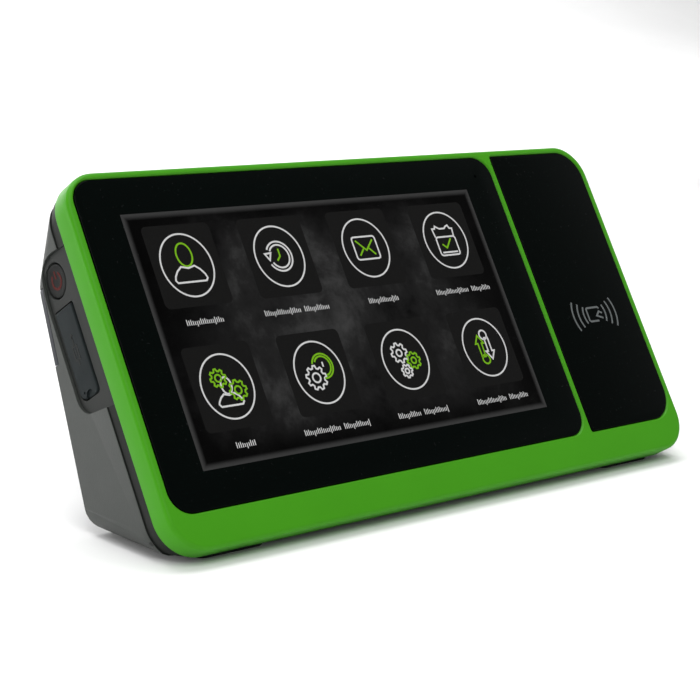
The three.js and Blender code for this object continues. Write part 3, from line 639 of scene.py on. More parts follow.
def ribbon(paths, width, lift, thick=0.02):
    """Flat raised lines of one width along paths in the face plane."""
    mesh = bmesh.new()
    for points, closed in paths:
        chain = [mesh.verts.new((x, y, lift)) for x, y in points]
        for first, second in zip(chain, chain[1:]):
            mesh.edges.new((first, second))
        if closed:
            mesh.edges.new((chain[-1], chain[0]))
    wall = bmesh.ops.extrude_edge_only(mesh, edges=mesh.edges[:])
    moved = [item for item in wall["geom"] if isinstance(item, bmesh.types.BMVert)]
    bmesh.ops.translate(mesh, vec=(0, 0, thick), verts=moved)
    thing = loose_object("work", mesh)
    modifier = thing.modifiers.new("width", "SOLIDIFY")
    modifier.thickness = width
    modifier.offset = 0
    modifier.use_even_offset = True
    modifier.use_rim = True
    settle(thing)
    result = bmesh.new()
    result.from_mesh(thing.data)
    bpy.data.objects.remove(thing)
    bmesh.ops.recalc_face_normals(result, faces=result.faces)
    return result


def on_screen(right, down):
    """A place on the lit area, from its upper left corner, in the face plane."""
    return SCREEN_LEFT + right, SCREEN_TOP - down


# ---- Pieces ----
class TERMINAL_OT_front_frame(bpy.types.Operator):
    """Makes the green front frame with its two windows and its divider"""

    bl_idname = "terminal.front_frame"
    bl_label = "Front Frame"

    def execute(self, context):
        corner = mm("frame_corner")
        left, right = FRAME_LOW.x, FRAME_HIGH.x
        body = slab(left, right, 0, FRAME_HIGH.y, 0, FRAME_DEPTH, (corner,) * 4)
        round_at(body, "z", 0, mm("frame_rounding"), 6)
        round_at(body, "z", -FRAME_DEPTH, 0.5, 3)
        inner = 2.4
        hollow = slab(
            left + inner, right - inner, inner, FRAME_HIGH.y - inner, 3.8, FRAME_DEPTH + 1, (corner - inner,) * 4
        )
        windows = []
        for low, high, radii in self.windows():
            windows.append(slab(low.x - GAP, high.x + GAP, low.y - GAP, high.y + GAP, -1, 2.6, radii))
            windows.append(slab(low.x + 6, high.x - 6, low.y + 6, high.y - 6, 2, FRAME_DEPTH, (4,) * 4))
            windows.append(self.flare(low, high, radii))
        pinhole = rod(((GLASS_HIGH.x + PANEL_LOW.x) / 2 + 0.6, PANEL_HIGH.y - 3.2, 0), 0.4, 3, segments=20)
        shape = cut(body, hollow, pinhole, *windows)
        piece("front_frame_shell", shape, ["green"], stands_for=["front_frame"])
        return {"FINISHED"}

    def windows(self):
        glass, panel = mm("glass_corner") + GAP, mm("panel_corner") + GAP
        yield GLASS_LOW, GLASS_HIGH, (glass,) * 4
        yield PANEL_LOW, PANEL_HIGH, (1.2, panel, panel, 1.2)

    def flare(self, low, high, radii):
        """The sloping edge all round a window, as the tool that cuts it."""
        rim = mm("window_rounding")
        grow = GAP + rim
        wider = tuple(radius + rim for radius in radii)
        tool = slab(low.x - grow, high.x + grow, low.y - grow, high.y + grow, -1, rim, wider)
        round_at(tool, "z", -rim, rim, 1)
        return tool


class TERMINAL_OT_display_glass(bpy.types.Operator):
    """Makes the display glass with the picture area set into its face"""

    bl_idname = "terminal.display_glass"
    bl_label = "Display Glass"

    def execute(self, context):
        corner = mm("glass_corner")
        low, high = GLASS_LOW, GLASS_HIGH
        shape = filling(low, high, (corner,) * 4)
        round_at(shape, "z", high.z, 0.3, 3)
        microphone = span("microphone")
        middle = (microphone[0] + microphone[1]) / 2
        hole = rod((middle.x, middle.y, high.z), 0.5, 4, segments=24)
        frame_cut = slab(
            SCREEN_LEFT,
            SCREEN_LEFT + SCREEN_WIDTH,
            SCREEN_TOP - SCREEN_HEIGHT,
            SCREEN_TOP,
            -high.z - 1,
            -high.z + 0.2,
        )
        shape = cut(shape, hole, frame_cut)
        piece("display_glass", shape, ["glass"], stands_for=["cover_glass"])
        self.picture(high.z)
        return {"FINISHED"}

    def picture(self, level):
        bottom = SCREEN_TOP - SCREEN_HEIGHT
        mesh = slab(SCREEN_LEFT, SCREEN_LEFT + SCREEN_WIDTH, bottom, SCREEN_TOP, -level, -level + 0.2)
        flat = mesh.loops.layers.uv.new("face")
        for side in mesh.faces:
            for loop in side.loops:
                place = loop.vert.co
                loop[flat].uv = ((place.x - SCREEN_LEFT) / SCREEN_WIDTH, (place.y - bottom) / SCREEN_HEIGHT)
        piece("display_picture", mesh, ["picture"])


class TERMINAL_OT_display_icons(bpy.types.Operator):
    """Draws the display's eight tiles, rings, icons and greeked captions"""

    bl_idname = "terminal.display_icons"
    bl_label = "Display Icons"

    COLUMNS = (19.2, 57.3, 96.0, 134.6)
    ROWS = (18.9, 60.5)
    CAPTION_DROP = 19.5
    CAPTIONS = (((15,), (15.5, 11), (14,), (16, 9.5)), ((8,), (15.5, 11.5), (10.5, 11.5), (14.5, 9.5)))

    def execute(self, context):
        lift = GLASS_HIGH.z + INK_LIFT
        white, green = self.icons()
        rings = []
        for down in self.ROWS:
            for right in self.COLUMNS:
                rings.append(circle_line(*on_screen(right, down), 10.0, 10.85, steps=96))
        piece("tiles", self.tiles(), ["tile"])
        piece("icon_rings", ribbon(rings, mm("ring_line"), lift), ["white"])
        piece("icons_white", ribbon(white, mm("icon_line"), lift), ["white"])
        piece("icons_green", ribbon(green, mm("icon_line"), lift + 0.004), ["lime"])
        piece("captions", self.captions(lift), ["white"])
        return {"FINISHED"}

    def tiles(self):
        level = -GLASS_HIGH.z
        plates = []
        for down in self.ROWS:
            for right in self.COLUMNS:
                x, y = on_screen(right, down)
                plates.append(slab(x - 13.4, x + 13.4, y - 14.2, y + 14.2, level - 0.012, level + 0.05, (2,) * 4, 6))
        return merged(*plates)

    def captions(self, lift):
        """Rows of plain blocks that stand for words."""
        blocks = []
        for down, row in zip(self.ROWS, self.CAPTIONS):
            for right, words in zip(self.COLUMNS, row):
                x, y = on_screen(right - (sum(words) + 1.4 * (len(words) - 1)) / 2, down + self.CAPTION_DROP)
                for word in words:
                    blocks.extend(self.word(x, y, word, lift))
                    x += word + 1.4
        return merged(*blocks)

    def word(self, x, y, width, lift):
        """A word as thin strokes of changing height, which spell nothing."""
        count = max(4, round(width / 0.78))
        step = width / count
        for stroke in range(count):
            high = (1.25, 0.55, 0.7, 0.95, 0.6, 0.5, 1.15)[(stroke * 3) % 7] if stroke else 1.3
            low = -1.35 if stroke % 9 == 5 else -0.8
            left = x + stroke * step
            yield slab(left, left + step * 0.4, y + low, y + high, -lift - 0.02, -lift, (0.12,) * 4, 1)

    def icons(self):
        """White and green paths of all eight icons."""
        white, green = [], []
        makers = (
            (self.person, self.past_time, self.letter, self.planner),
            (self.roles, self.timed_gear, self.gears, self.exchange),
        )
        for down, row in zip(self.ROWS, makers):
            for right, maker in zip(self.COLUMNS, row):
                maker(*on_screen(right, down), white, green)
        return white, green

    def shoulders(self, x, y, half, rise):
        """A bust's outline: rounded lower corners and sloping shoulders."""
        left = [(-half, 0.9), (-half * 0.93, rise * 0.42), (-half * 0.72, rise * 0.74), (-half * 0.42, rise)]
        right = [(-px, py) for px, py in reversed(left)]
        path = [(half - 0.7, 0), (-half + 0.7, 0), *left, (0, rise * 0.88), *right]
        return lines([(x + px, y + py) for px, py in path], True)

    def person(self, x, y, white, green):
        green.append(circle_line(x, y + 3.6, 3.0, 4.0, steps=40))
        white.append(self.shoulders(x, y - 5.8, 6.3, 5.4))

    def past_time(self, x, y, white, green):
        white.append(circle_line(x, y, 5.2, 5.3, -150, 150, 48))
        white.append(circle_line(x, y, 4.0, 4.1, -150, 150, 48))
        white.append(lines([(x - 5.9, y + 1.2), (x - 4.5, y - 1.1), (x - 3.3, y + 1.4)], True))
        green.append(lines([(x + 0.2, y + 2.7), (x + 0.2, y), (x - 1.4, y - 1.5)]))

    def letter(self, x, y, white, green):
        half, tall = 5.3, 4.2
        white.append(self.rounded(x - half, x + half, y - tall, y + tall, 0.9))
        green.append(lines([(x - 3.9, y + 2.9), (x, y - 0.9), (x + 3.9, y + 2.9)]))
        green.append(lines([(x - 3.6, y - 2.7), (x - 1.2, y - 0.2)]))
        green.append(lines([(x + 3.6, y - 2.7), (x + 1.2, y - 0.2)]))

    def rounded(self, x0, x1, y0, y1, radius):
        """A rectangle with cut corners."""
        path = [(x0 + radius, y0), (x1 - radius, y0), (x1 - radius * 0.3, y0 + radius * 0.3), (x1, y0 + radius)]
        path += [(x1, y1 - radius), (x1 - radius * 0.3, y1 - radius * 0.3), (x1 - radius, y1), (x0 + radius, y1)]
        path += [(x0 + radius * 0.3, y1 - radius * 0.3), (x0, y1 - radius), (x0, y0 + radius)]
        return lines([*path, (x0 + radius * 0.3, y0 + radius * 0.3)], True)

    def planner(self, x, y, white, green):
        white.append(self.rounded(x - 4.5, x + 4.9, y - 5.8, y + 1.3, 0.9))
        white.append(lines([(x - 3.4, y - 4.7), (x + 4.0, y - 4.7)]))
        top = [(-4.5, 1.3), (-4.9, 4.6), (-3.6, 4.6), (-3.1, 5.6), (-2.2, 5.0), (-1.2, 4.5), (1.2, 4.5)]
        top += [(2.0, 5.2), (3.2, 5.6), (3.7, 4.4), (4.9, 4.3), (4.5, 1.3)]
        white.append(lines([(x + px, y + py) for px, py in top]))
        green.append(lines([(x - 2.3, y - 1.5), (x - 0.6, y - 3.0), (x + 2.5, y + 0.5)]))

    def roles(self, x, y, white, green):
        white.append(circle_line(x - 0.4, y + 0.3, 2.0, 2.8, steps=32))
        white.append(self.shoulders(x - 0.4, y - 6.4, 4.9, 4.0))
        green.append(gear_line(x - 2.6, y + 3.0, 3.1, 2.4, 8))
        green.append(circle_line(x - 2.6, y + 3.0, 1.2, steps=20))
        green.append(gear_line(x + 3.6, y - 1.7, 3.4, 2.7, 8))
        green.append(circle_line(x + 3.6, y - 1.7, 1.3, steps=20))

    def timed_gear(self, x, y, white, green):
        green.append(circle_line(x + 2.2, y + 2.0, 4.2, 4.3, -100, 165, 48))
        green.append(circle_line(x + 2.2, y + 2.0, 3.3, 3.4, -85, 150, 40))
        white.append(lines([(x + 2.4, y + 3.4), (x + 2.4, y + 1.7)]))
        white.append(gear_line(x - 1.9, y - 1.7, 4.2, 3.3, 9))
        white.append(circle_line(x - 1.9, y - 1.7, 1.6, steps=24))

    def gears(self, x, y, white, green):
        white.append(gear_line(x - 1.9, y + 2.5, 3.6, 2.8, 8))
        white.append(circle_line(x - 1.9, y + 2.5, 1.2, steps=20))
        green.append(gear_line(x + 3.5, y - 0.8, 3.0, 2.4, 8))
        green.append(circle_line(x + 3.5, y - 0.8, 1.1, steps=20))
        white.append(gear_line(x - 1.0, y - 4.2, 2.4, 1.9, 7))
        white.append(circle_line(x - 1.0, y - 4.2, 0.9, steps=20))

    def exchange(self, x, y, white, green):
        up = ((x - 1.9, y + 4.6), (x + 0.1, y + 1.6), (x - 1.0, y + 1.6), (x - 1.0, y - 3.4))
        up += ((x - 2.8, y - 3.4), (x - 2.8, y + 1.6), (x - 3.9, y + 1.6))
        green.append(lines(up, True))
        green.append(circle_line(x - 1.2, y - 4.4, 1.7, steps=24))
        white.append(lines([(2 * x - px, 2 * y - py) for px, py in up], True))
        white.append(circle_line(x + 1.0, y + 4.6, 1.7, steps=24))


class TERMINAL_OT_card_reader(bpy.types.Operator):
    """Makes the reader glass and its printed card symbol"""

    bl_idname = "terminal.card_reader"
    bl_label = "Card Reader"

    SYMBOL_DOWN = 54.2
    SYMBOL_RIGHT = 196.7
    WAVES = ((6.0, 3.3), (8.8, 4.6), (11.7, 5.7))

    def execute(self, context):
        corner = mm("panel_corner")
        low, high = PANEL_LOW, PANEL_HIGH
        shape = filling(low, high, (0.9, corner, corner, 0.9))
        round_at(shape, "z", high.z, 0.3, 3)
        piece("reader_glass", shape, ["reader"], stands_for=["reader_panel"])
        lift = high.z + INK_LIFT
        piece("card_symbol", ribbon(self.symbol(), mm("reader_line"), lift), ["card"])
        return {"FINISHED"}

    def symbol(self):
        """A card between three waves on each side."""
        x, y = on_screen(self.SYMBOL_RIGHT, self.SYMBOL_DOWN)
        paths = []
        for reach, half in self.WAVES:
            round_by = half * 2.1
            bow = math.degrees(math.asin(half / round_by))
            for side, middle in ((1, 0), (-1, 180)):
                centre = x + side * (reach - round_by)
                paths.append(circle_line(centre, y, round_by, None, middle - bow, middle + bow, 16))
        card = [(1.2, -2.7), (-3.2, -2.7), (-3.8, -2.2), (-3.8, 2.2), (-3.2, 2.7), (2.6, 2.7), (3.2, 2.0)]
        paths.append(lines([(x + dx, y + dy) for dx, dy in card]))
        chevron = [(4.0, -1.9), (0.9, -0.7), (2.7, 0.9), (4.2, 0.1)]
        paths.append(lines([(x + dx, y + dy) for dx, dy in chevron]))
        return paths


# ---- The rear cover ----
def wall(depth, height, across_normal, up_normal):
    """A straight wall of the side profile, held by its outward normal."""
    return across_normal, up_normal, depth * across_normal + height * up_normal


REAR_FOOT = (COVER_DEPTH - FRAME_DEPTH) * math.tan(LEAN)
BASE_WALL = wall(FRAME_DEPTH, 0, math.sin(LEAN), -math.cos(LEAN))
REAR_WALL = wall(COVER_DEPTH, REAR_FOOT, math.cos(REAR_SLANT), math.sin(REAR_SLANT))
TOP_WALL = wall(COVER_FRONT, FRAME_HIGH.y, math.sin(TOP_SLOPE), math.cos(TOP_SLOPE))


def meet(first, second, inset):
    """Where two walls cross, both moved in by the inset."""
    a, b = first[2] - inset, second[2] - inset
    det = first[0] * second[1] - first[1] * second[0]
    return (a * second[1] - first[1] * b) / det, (first[0] * b - a * second[0]) / det


def height_on(line, depth, inset=0.0):
    """How high up the face a wall is at a depth, moved in by the inset."""
    return (line[2] - inset - depth * line[0]) / line[1]


def depth_on(line, height, inset=0.0):
    """How deep a wall is at a height up the face, moved in by the inset."""
    return (line[2] - inset - height * line[1]) / line[0]


def cover_profile(inset, front):
    """The cover's side outline, moved in by the inset."""
    return [
        (front, height_on(BASE_WALL, front, inset)),
        meet(BASE_WALL, REAR_WALL, inset),
        meet(REAR_WALL, TOP_WALL, inset),
        (front, height_on(TOP_WALL, front, inset)),
    ]


def along(mesh, line, inset, x):
    """The edges that lie in one wall of the profile and in one side of the cover."""
    return edges_where(mesh, lambda co: near(height_on(line, -co.z, inset), co.y, 0.05) and near(co.x, x, 0.05))


def cover_block(inset, front):
    """The cover as a solid, moved in by the inset, with its edges rounded."""
    left, right = COVER_LOW.x + inset, COVER_HIGH.x - inset
    shape = across(cover_profile(inset, front), left, right)
    for x in (left, right):
        soften(shape, along(shape, TOP_WALL, inset, x), max(mm("slope_rounding") - inset, 1), 8)
    for x in (left, right):
        soften(shape, along(shape, BASE_WALL, inset, x), max(mm("base_rounding") - inset, 1), 6)
    for x in (left, right):
        soften(shape, along(shape, REAR_WALL, inset, x), max(mm("rear_rounding") - inset, 0.4), 5)
    round_corner = mm("frame_corner") - inset
    outer = slab(
        left, right, inset - 1, FRAME_HIGH.y - inset, front - 1, 70, (1, 1, round_corner, round_corner)
    )
    low_corners = slab(left, right, inset, FRAME_HIGH.y + 5, front - 1, 70, (round_corner, round_corner, 0, 0))
    return work(shape, ("INTERSECT", outer), ("INTERSECT", low_corners))


def rear_strip(low, high, outside, inside):
    """A band along the rear wall, between two heights and two distances in from its face."""
    points = [
        (depth_on(REAR_WALL, low, inside), low),
        (depth_on(REAR_WALL, low, outside), low),
        (depth_on(REAR_WALL, high, outside), high),
        (depth_on(REAR_WALL, high, inside), high),
    ]
    return across(points, FRAME_LOW.x - 1, FRAME_HIGH.x + 1)


class TERMINAL_OT_rear_cover(bpy.types.Operator):
    """Makes the grey rear cover with its recesses, vents and screw wells"""

    bl_idname = "terminal.rear_cover"
    bl_label = "Rear Cover"

    def execute(self, context):
        shoulder = COVER_FRONT + LIP_DEPTH
        block = cover_block(0, shoulder)
        round_at(block, "z", -shoulder, 0.58, 4)
        shape = work(
            block,
            ("UNION", cover_block(LIP_INSET, COVER_FRONT)),
            ("DIFFERENCE", self.cavity()),
            ("UNION", self.bay_walls()),
            *(("UNION", post) for post in self.posts()),
        )
        shape = cut(shape, *self.openings())
        shape = hem(shape, 0.22, 2, 42)
        self.part_faces(shape)
        # The second and third finishes are darker copies of the casing: painted shade on the frame-side strip and on
        # the floor of the hand-side hollow.
        coats = ["casing", "lip", "recess_painted_shade"]
        piece("rear_cover_shell", shape, coats, stands_for=["rear_cover"], sharp=28)
        return {"FINISHED"}

    def part_faces(self, shape):
        """Marks the faces of the step behind the frame and of the floor of the hand-side hollow, which get darker
        copies of the casing finish as painted shade.
        """
        for face in shape.faces:
            deepest = max(-vertex.co.z for vertex in face.verts)
            floor = all(near(vertex.co.x, RECESS_FLOOR, 0.3) for vertex in face.verts)
            if deepest < COVER_FRONT + LIP_DEPTH + 0.05:
                face.material_index = 1
            elif floor:
                face.material_index = 2

    def cavity(self):
        around = GAP + PLATE_FLOOR
        seat = rear_strip(PLATE_BAND[0] - around, PLATE_BAND[1] + around, -1, PLATE_THICK + around)
        return cut(cover_block(COVER_WALL, FRAME_DEPTH - 1), seat)

    def screw_places(self):
        for number in range(1, 5):
            low, high = span(f"cover_screw_{number}")
            yield (low + high) / 2

    def posts(self):
        for place in self.screw_places():
            back = depth_on(REAR_WALL, place.y, 0.5)
            middle = -(POST_FRONT + back) / 2
            yield rod((place.x, place.y, middle), POST_RADIUS, back - POST_FRONT, segments=40)

    def bay_walls(self):
        (left, low), (right, high) = BAY_LOW, BAY_HIGH
        top = high + BAY_WALL
        back = depth_on(REAR_WALL, top, 0.4)
        return slab(left - BAY_WALL, right + BAY_WALL, low - BAY_WALL, top, BAY_FLOOR - BAY_WALL, back)

    def openings(self):
        (left, low), (right, high) = BAY_LOW, BAY_HIGH
        yield slab(left, right, low, high, BAY_FLOOR, BEHIND, (1.2,) * 4, 4)
        for low, high in ((NETWORK_LOW, NETWORK_HIGH), (POWER_LOW, POWER_HIGH)):
            yield slab(low.x - GAP, high.x + GAP, low.y - GAP, high.y + GAP, 20, BAY_FLOOR + 1)
        yield rear_strip(PLATE_BAND[0] - GAP, PLATE_BAND[1] + GAP, -5, PLATE_THICK + GAP)
        yield self.side_recess()
        yield rod((FRAME_LOW.x, BUTTON_UP, -BUTTON_BACK), BUTTON_RADIUS + BUTTON_CLEARANCE, 6.2, "X", 64)
        yield self.flap_opening()
        for place in self.screw_places():
            yield rod((place.x, place.y, -WELL_DEPTH - 24), WELL_RADIUS, 48, segments=32)
            yield rod((place.x, place.y, -30), SHANK_HOLE, 50, segments=24)
        for row in range(-2, 3):
            x, y = SPEAKER_AT
            half = 11.9 - abs(row) * 2
            y += row * SPEAKER_PITCH
            rise = SPEAKER_SLOT / 2
            yield slab(x - half, x + half, y - rise, y + rise, 30, 50, (rise - 0.01,) * 4, 6)
        for number in range(1, 5):
            yield self.foot_pocket(number)

    def side_recess(self):
        """The shallow hand-side hollow around the button and the port flap; its floor is later given a darker casing
        copy as painted shade.
        """
        back = -FLAP_LOW.z + 1.5
        points = [
            (FRAME_DEPTH - 1, 51.5),
            (back, 54.4),
            (back, BUTTON_UP - BUTTON_RADIUS),
            (BUTTON_BACK + BUTTON_RADIUS, BUTTON_UP + BUTTON_RADIUS),
            (BUTTON_BACK, 106.2),
            (FRAME_DEPTH - 1, 105.0),
        ]
        return across(points, FRAME_LOW.x - 1, RECESS_FLOOR, (0, 5.5, 3, 2, 4, 0), 8)

    def flap_opening(self):
        front, back = -FLAP_HIGH.z - GAP, -FLAP_LOW.z + GAP
        points = [(front, FLAP_LOW.y - GAP), (back, FLAP_LOW.y - GAP), (back, FLAP_HIGH.y + GAP)]
        points.append((front, FLAP_HIGH.y + GAP))
        return across(points, FRAME_LOW.x - 1, COVER_LOW.x + COVER_WALL + 0.5, (1.8, 3.3, 0.9, 0.9), 8)

    def foot_pocket(self, number):
        low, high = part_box(f"rubber_foot_{number}")
        mesh = bmesh.new()
        middle = (low + high) / 2
        size = high - low + Vector((2, 2, 0)) * GAP * MM
        spot = Matrix.Translation((middle.x, middle.y, high.z + GAP * MM - 0.005)) @ Matrix.Diagonal(
            (size.x, size.y, 0.01, 1)
        )
        bmesh.ops.create_cube(mesh, size=1, matrix=UNFACE @ spot)
        return mesh


class TERMINAL_OT_mount_plate(bpy.types.Operator):
    """Makes the black plate seated in the channel across the rear wall"""

    bl_idname = "terminal.mount_plate"
    bl_label = "Mounting Plate"

    def execute(self, context):
        band = rear_strip(*PLATE_BAND, -5, PLATE_THICK)
        shape = work(cover_block(0.02, COVER_FRONT), ("INTERSECT", band))
        middle = sum(PLATE_BAND) / 2
        holes = [rod((x, middle, -32), PLATE_HOLE_RADIUS, 20, segments=40) for x in PLATE_HOLES]
        shape = hem(cut(shape, *holes), 0.25, 2, 40)
        piece("mount_plate", shape, ["plate"], stands_for=["rear_mount_plate"])
        return {"FINISHED"}


class TERMINAL_OT_power_button(bpy.types.Operator):
    """Makes the round power button and its printed symbol"""

    bl_idname = "terminal.power_button"
    bl_label = "Power Button"

    def execute(self, context):
        outside = BUTTON_LOW.x
        cap = rod((outside + 0.8, BUTTON_UP, -BUTTON_BACK), BUTTON_RADIUS, 1.6, "X", 72)
        round_at(cap, "x", outside, 0.45, 4)
        face = max((f for f in cap.faces if len(f.verts) > 8), key=lambda f: -f.calc_center_median().x)
        bmesh.ops.inset_region(cap, faces=[face], thickness=0.9, depth=0)
        bmesh.ops.inset_region(cap, faces=[face], thickness=0.6, depth=-0.18)
        neck = rod((outside + 2.0, BUTTON_UP, -BUTTON_BACK), 4.0, 1.0, "X", 48)
        wing = slab(
            BUTTON_LOW.x + 1.9, BUTTON_LOW.x + 2.9, BUTTON_LOW.y, BUTTON_HIGH.y, BUTTON_BACK - 2, BUTTON_BACK + 2
        )
        stem = rod((BUTTON_HIGH.x - 1.05, BUTTON_UP, -BUTTON_BACK), 1.5, 2.1, "X", 24)
        shape = merged(cap, neck, wing, stem)
        piece("power_cap", shape, ["button"], "power_button", ["power_button"])
        self.symbol(outside + 0.18)
        return {"FINISHED"}

    def symbol(self, level):
        """A broken ring with a bar in its gap, lying in the side plane."""
        ring = circle_line(0, 0, 2.6, None, 126, 414, 48)
        mark = ribbon([ring, lines([(0, 3.3), (0, 0.6)])], 0.85, INK_LIFT, 0.03)
        stand = Matrix.Translation((level, BUTTON_UP, -BUTTON_BACK)) @ Matrix.Rotation(-math.pi / 2, 4, "Y")
        bmesh.ops.transform(mark, matrix=stand, verts=mark.verts)
        piece("power_mark", mark, ["red"], "power_button")


class TERMINAL_OT_port_flap(bpy.types.Operator):
    """Makes the rubber flap over the ports, with its nail notch and raised mark"""

    bl_idname = "terminal.port_flap"
    bl_label = "Port Flap"

    EDGE = 0.25  # a shadow line all round the leaf, mm

    def execute(self, context):
        front, back = -FLAP_HIGH.z, -FLAP_LOW.z
        outside, inside = FLAP_LOW.x, FLAP_HIGH.x
        low, high = FLAP_LOW.y + self.EDGE, FLAP_HIGH.y - self.EDGE
        fore, aft = front + self.EDGE, back - self.EDGE
        leaf = across([(fore, low), (aft, low), (aft, high), (fore, high)], outside, inside, (1.5, 3, 0.6, 0.6), 8)
        round_at(leaf, "x", outside, 0.45, 3)
        top = edges_where(leaf, lambda co: co.y > high - 0.05 and near(co.x, inside))
        soften(leaf, top, 0.9, 4)
        notch = rod((outside, FLAP_LOW.y, -(front + 5)), 2.4, 1.8, "X", 40)
        plug = across(self.plug(front, back), inside - 0.2, inside + 0.6, (1,) * 4, 4)
        dot = rod((outside, FLAP_LOW.y + 2.2, -(back - 3.2)), 0.5, 0.6, "X", 20)
        shape = cut(work(leaf, ("UNION", plug)), notch, dot)
        piece("port_flap", shape, ["flap"], "port_cover", ["port_cover"], 34)
        self.mark(outside, (front + back) / 2)
        return {"FINISHED"}

    def plug(self, front, back):
        low, high = FLAP_LOW.y + 2, FLAP_HIGH.y - 4
        return [(front + 2, low), (back - 2, low), (back - 2, high), (front + 2, high)]

    def mark(self, outside, depth):
        """A plain raised socket outline, as a hint at what is behind the flap."""
        shell = lines([(-1.2, -2.4), (1.2, -2.4), (1.2, 2.0), (-1.2, 2.0)], True)
        tongue = lines([(0, -1.3), (0, 0.9)])
        ends = [lines([(0, 2.0), (0, 5.2)]), lines([(0, -2.4), (0, -4.4)]), circle_line(0, 5.3, 0.45, steps=16)]
        raised = ribbon([shell, tongue, *ends], 0.62, -0.02, 0.1)
        middle = (FLAP_LOW.y + FLAP_HIGH.y) / 2
        stand = Matrix.Translation((outside, middle, -depth)) @ Matrix.Rotation(-math.pi / 2, 4, "Y")
        bmesh.ops.transform(raised, matrix=stand, verts=raised.verts)
        # The raised mark reuses the darkened casing finish of the frame-side strip as its own colour, which is close
        # to the rubber's.
        piece("port_mark", raised, ["lip"], "port_cover")


class TERMINAL_OT_sockets(bpy.types.Operator):
    """Makes the sockets behind the flap and in the rear bay"""

    bl_idname = "terminal.sockets"
    bl_label = "Sockets"

    def execute(self, context):
        self.network()
        self.power()
        self.side_socket("usb_socket", "usb_shell", 0.8, 12, (1.6, 3.5), 4)
        self.side_socket("service_socket", "service_shell", 0.45, 4.5, (1.0, 1.6), 5)
        return {"FINISHED"}

    def network(self):
        low, high = NETWORK_LOW, NETWORK_HIGH
        body = filling(low, high)
        mouth_back = -low.z + 1
        floor = -low.z - 11
        mouth = slab(low.x + 2.1, high.x - 2.1, low.y + 2, high.y - 4.2, floor, mouth_back)
        latch = slab(low.x + 5, high.x - 5, high.y - 5, high.y - 1.2, floor + 3, mouth_back)
        shape = hem(cut(body, mouth, latch), 0.2, 2)
        piece("network_body", shape, ["black"], stands_for=["network_jack"])
        wires = []
        for number in range(8):
            x = (low.x + high.x) / 2 + (number - 3.5) * 1.02
            wires.append(slab(x - 0.18, x + 0.18, low.y + 1.9, low.y + 2.5, floor + 1, -low.z - 1.2))
        piece("network_contacts", merged(*wires), ["gold"])

    def power(self):
        low, high = POWER_LOW, POWER_HIGH
        x, y = (low.x + high.x) / 2, (low.y + high.y) / 2
        body = filling(low, high, (0.6,) * 4, 4)
        bore = rod((x, y, low.z + 4), 2.8, 12, segments=48)
        shape = hem(cut(body, bore), 0.25, 3)
        piece("power_body", shape, ["black"], stands_for=["power_jack"])
        pin = rod((x, y, low.z + 5.6), 1.0, 8.8, segments=32)
        round_at(pin, "z", low.z + 1.2, 0.5, 4)
        piece("power_pin", pin, ["steel"])

    def side_socket(self, node, name, rim, reach, tongue, contacts):
        low, high = span(node)
        shell = filling(low, high)
        mouth = slab(
            low.x - 1, low.x + reach, low.y + rim, high.y - rim, -high.z + rim, -low.z - rim, (0.1,) * 4, 2
        )
        shape = hem(cut(shell, mouth), 0.15, 2)
        piece(name, shape, ["steel"], stands_for=[node])
        front = -high.z + tongue[0]
        back = -high.z + tongue[1]
        blade = slab(low.x + 0.8, low.x + reach + 0.3, low.y + rim * 2, high.y - rim * 2, front, back)
        piece(f"{name}_tongue", hem(blade, 0.15, 2), ["black"])
        pads = []
        pitch = (high.y - low.y - rim * 6) / contacts
        for number in range(contacts):
            y = (low.y + high.y) / 2 + (number - (contacts - 1) / 2) * pitch
            pads.append(slab(low.x + 1.2, low.x + reach, y - pitch * 0.22, y + pitch * 0.22, back - 0.02, back + 0.1))
        piece(f"{name}_contacts", merged(*pads), ["gold"])


class TERMINAL_OT_fasteners(bpy.types.Operator):
    """Makes the cover screws with their cross recesses, and finishes the inner screws"""

    bl_idname = "terminal.fasteners"
    bl_label = "Fasteners"

    def execute(self, context):
        for number in range(1, 5):
            node = f"cover_screw_{number}"
            low, high = span(node)
            x, y = (low.x + high.x) / 2, (low.y + high.y) / 2
            radius = (high.x - low.x) / 2
            under_head = low.z + 1.5
            head = rod((x, y, low.z + 0.75), radius, 1.5, segments=40)
            round_at(head, "z", low.z, 0.6, 4)
            shank = rod((x, y, (under_head + high.z) / 2), 1.2, high.z - under_head, segments=24)
            slots = []
            for turn in (0, math.pi / 2):
                bar = slab(-1.3, 1.3, -0.22, 0.22, -0.8, 0.8)
                spot = Matrix.Translation((x, y, low.z)) @ Matrix.Rotation(turn, 4, "Z")
                bmesh.ops.transform(bar, matrix=spot, verts=bar.verts)
                slots.append(bar)
            shape = cut(work(head, ("UNION", shank)), *slots)
            piece(f"{node}_turned", shape, ["screw"], stands_for=[node])
            coat_node(f"bracket_screw_{number}", "screw")
            coat_node(f"board_screw_{number}", "screw")
            coat_node(f"standoff_{number}", "brass")
        return {"FINISHED"}


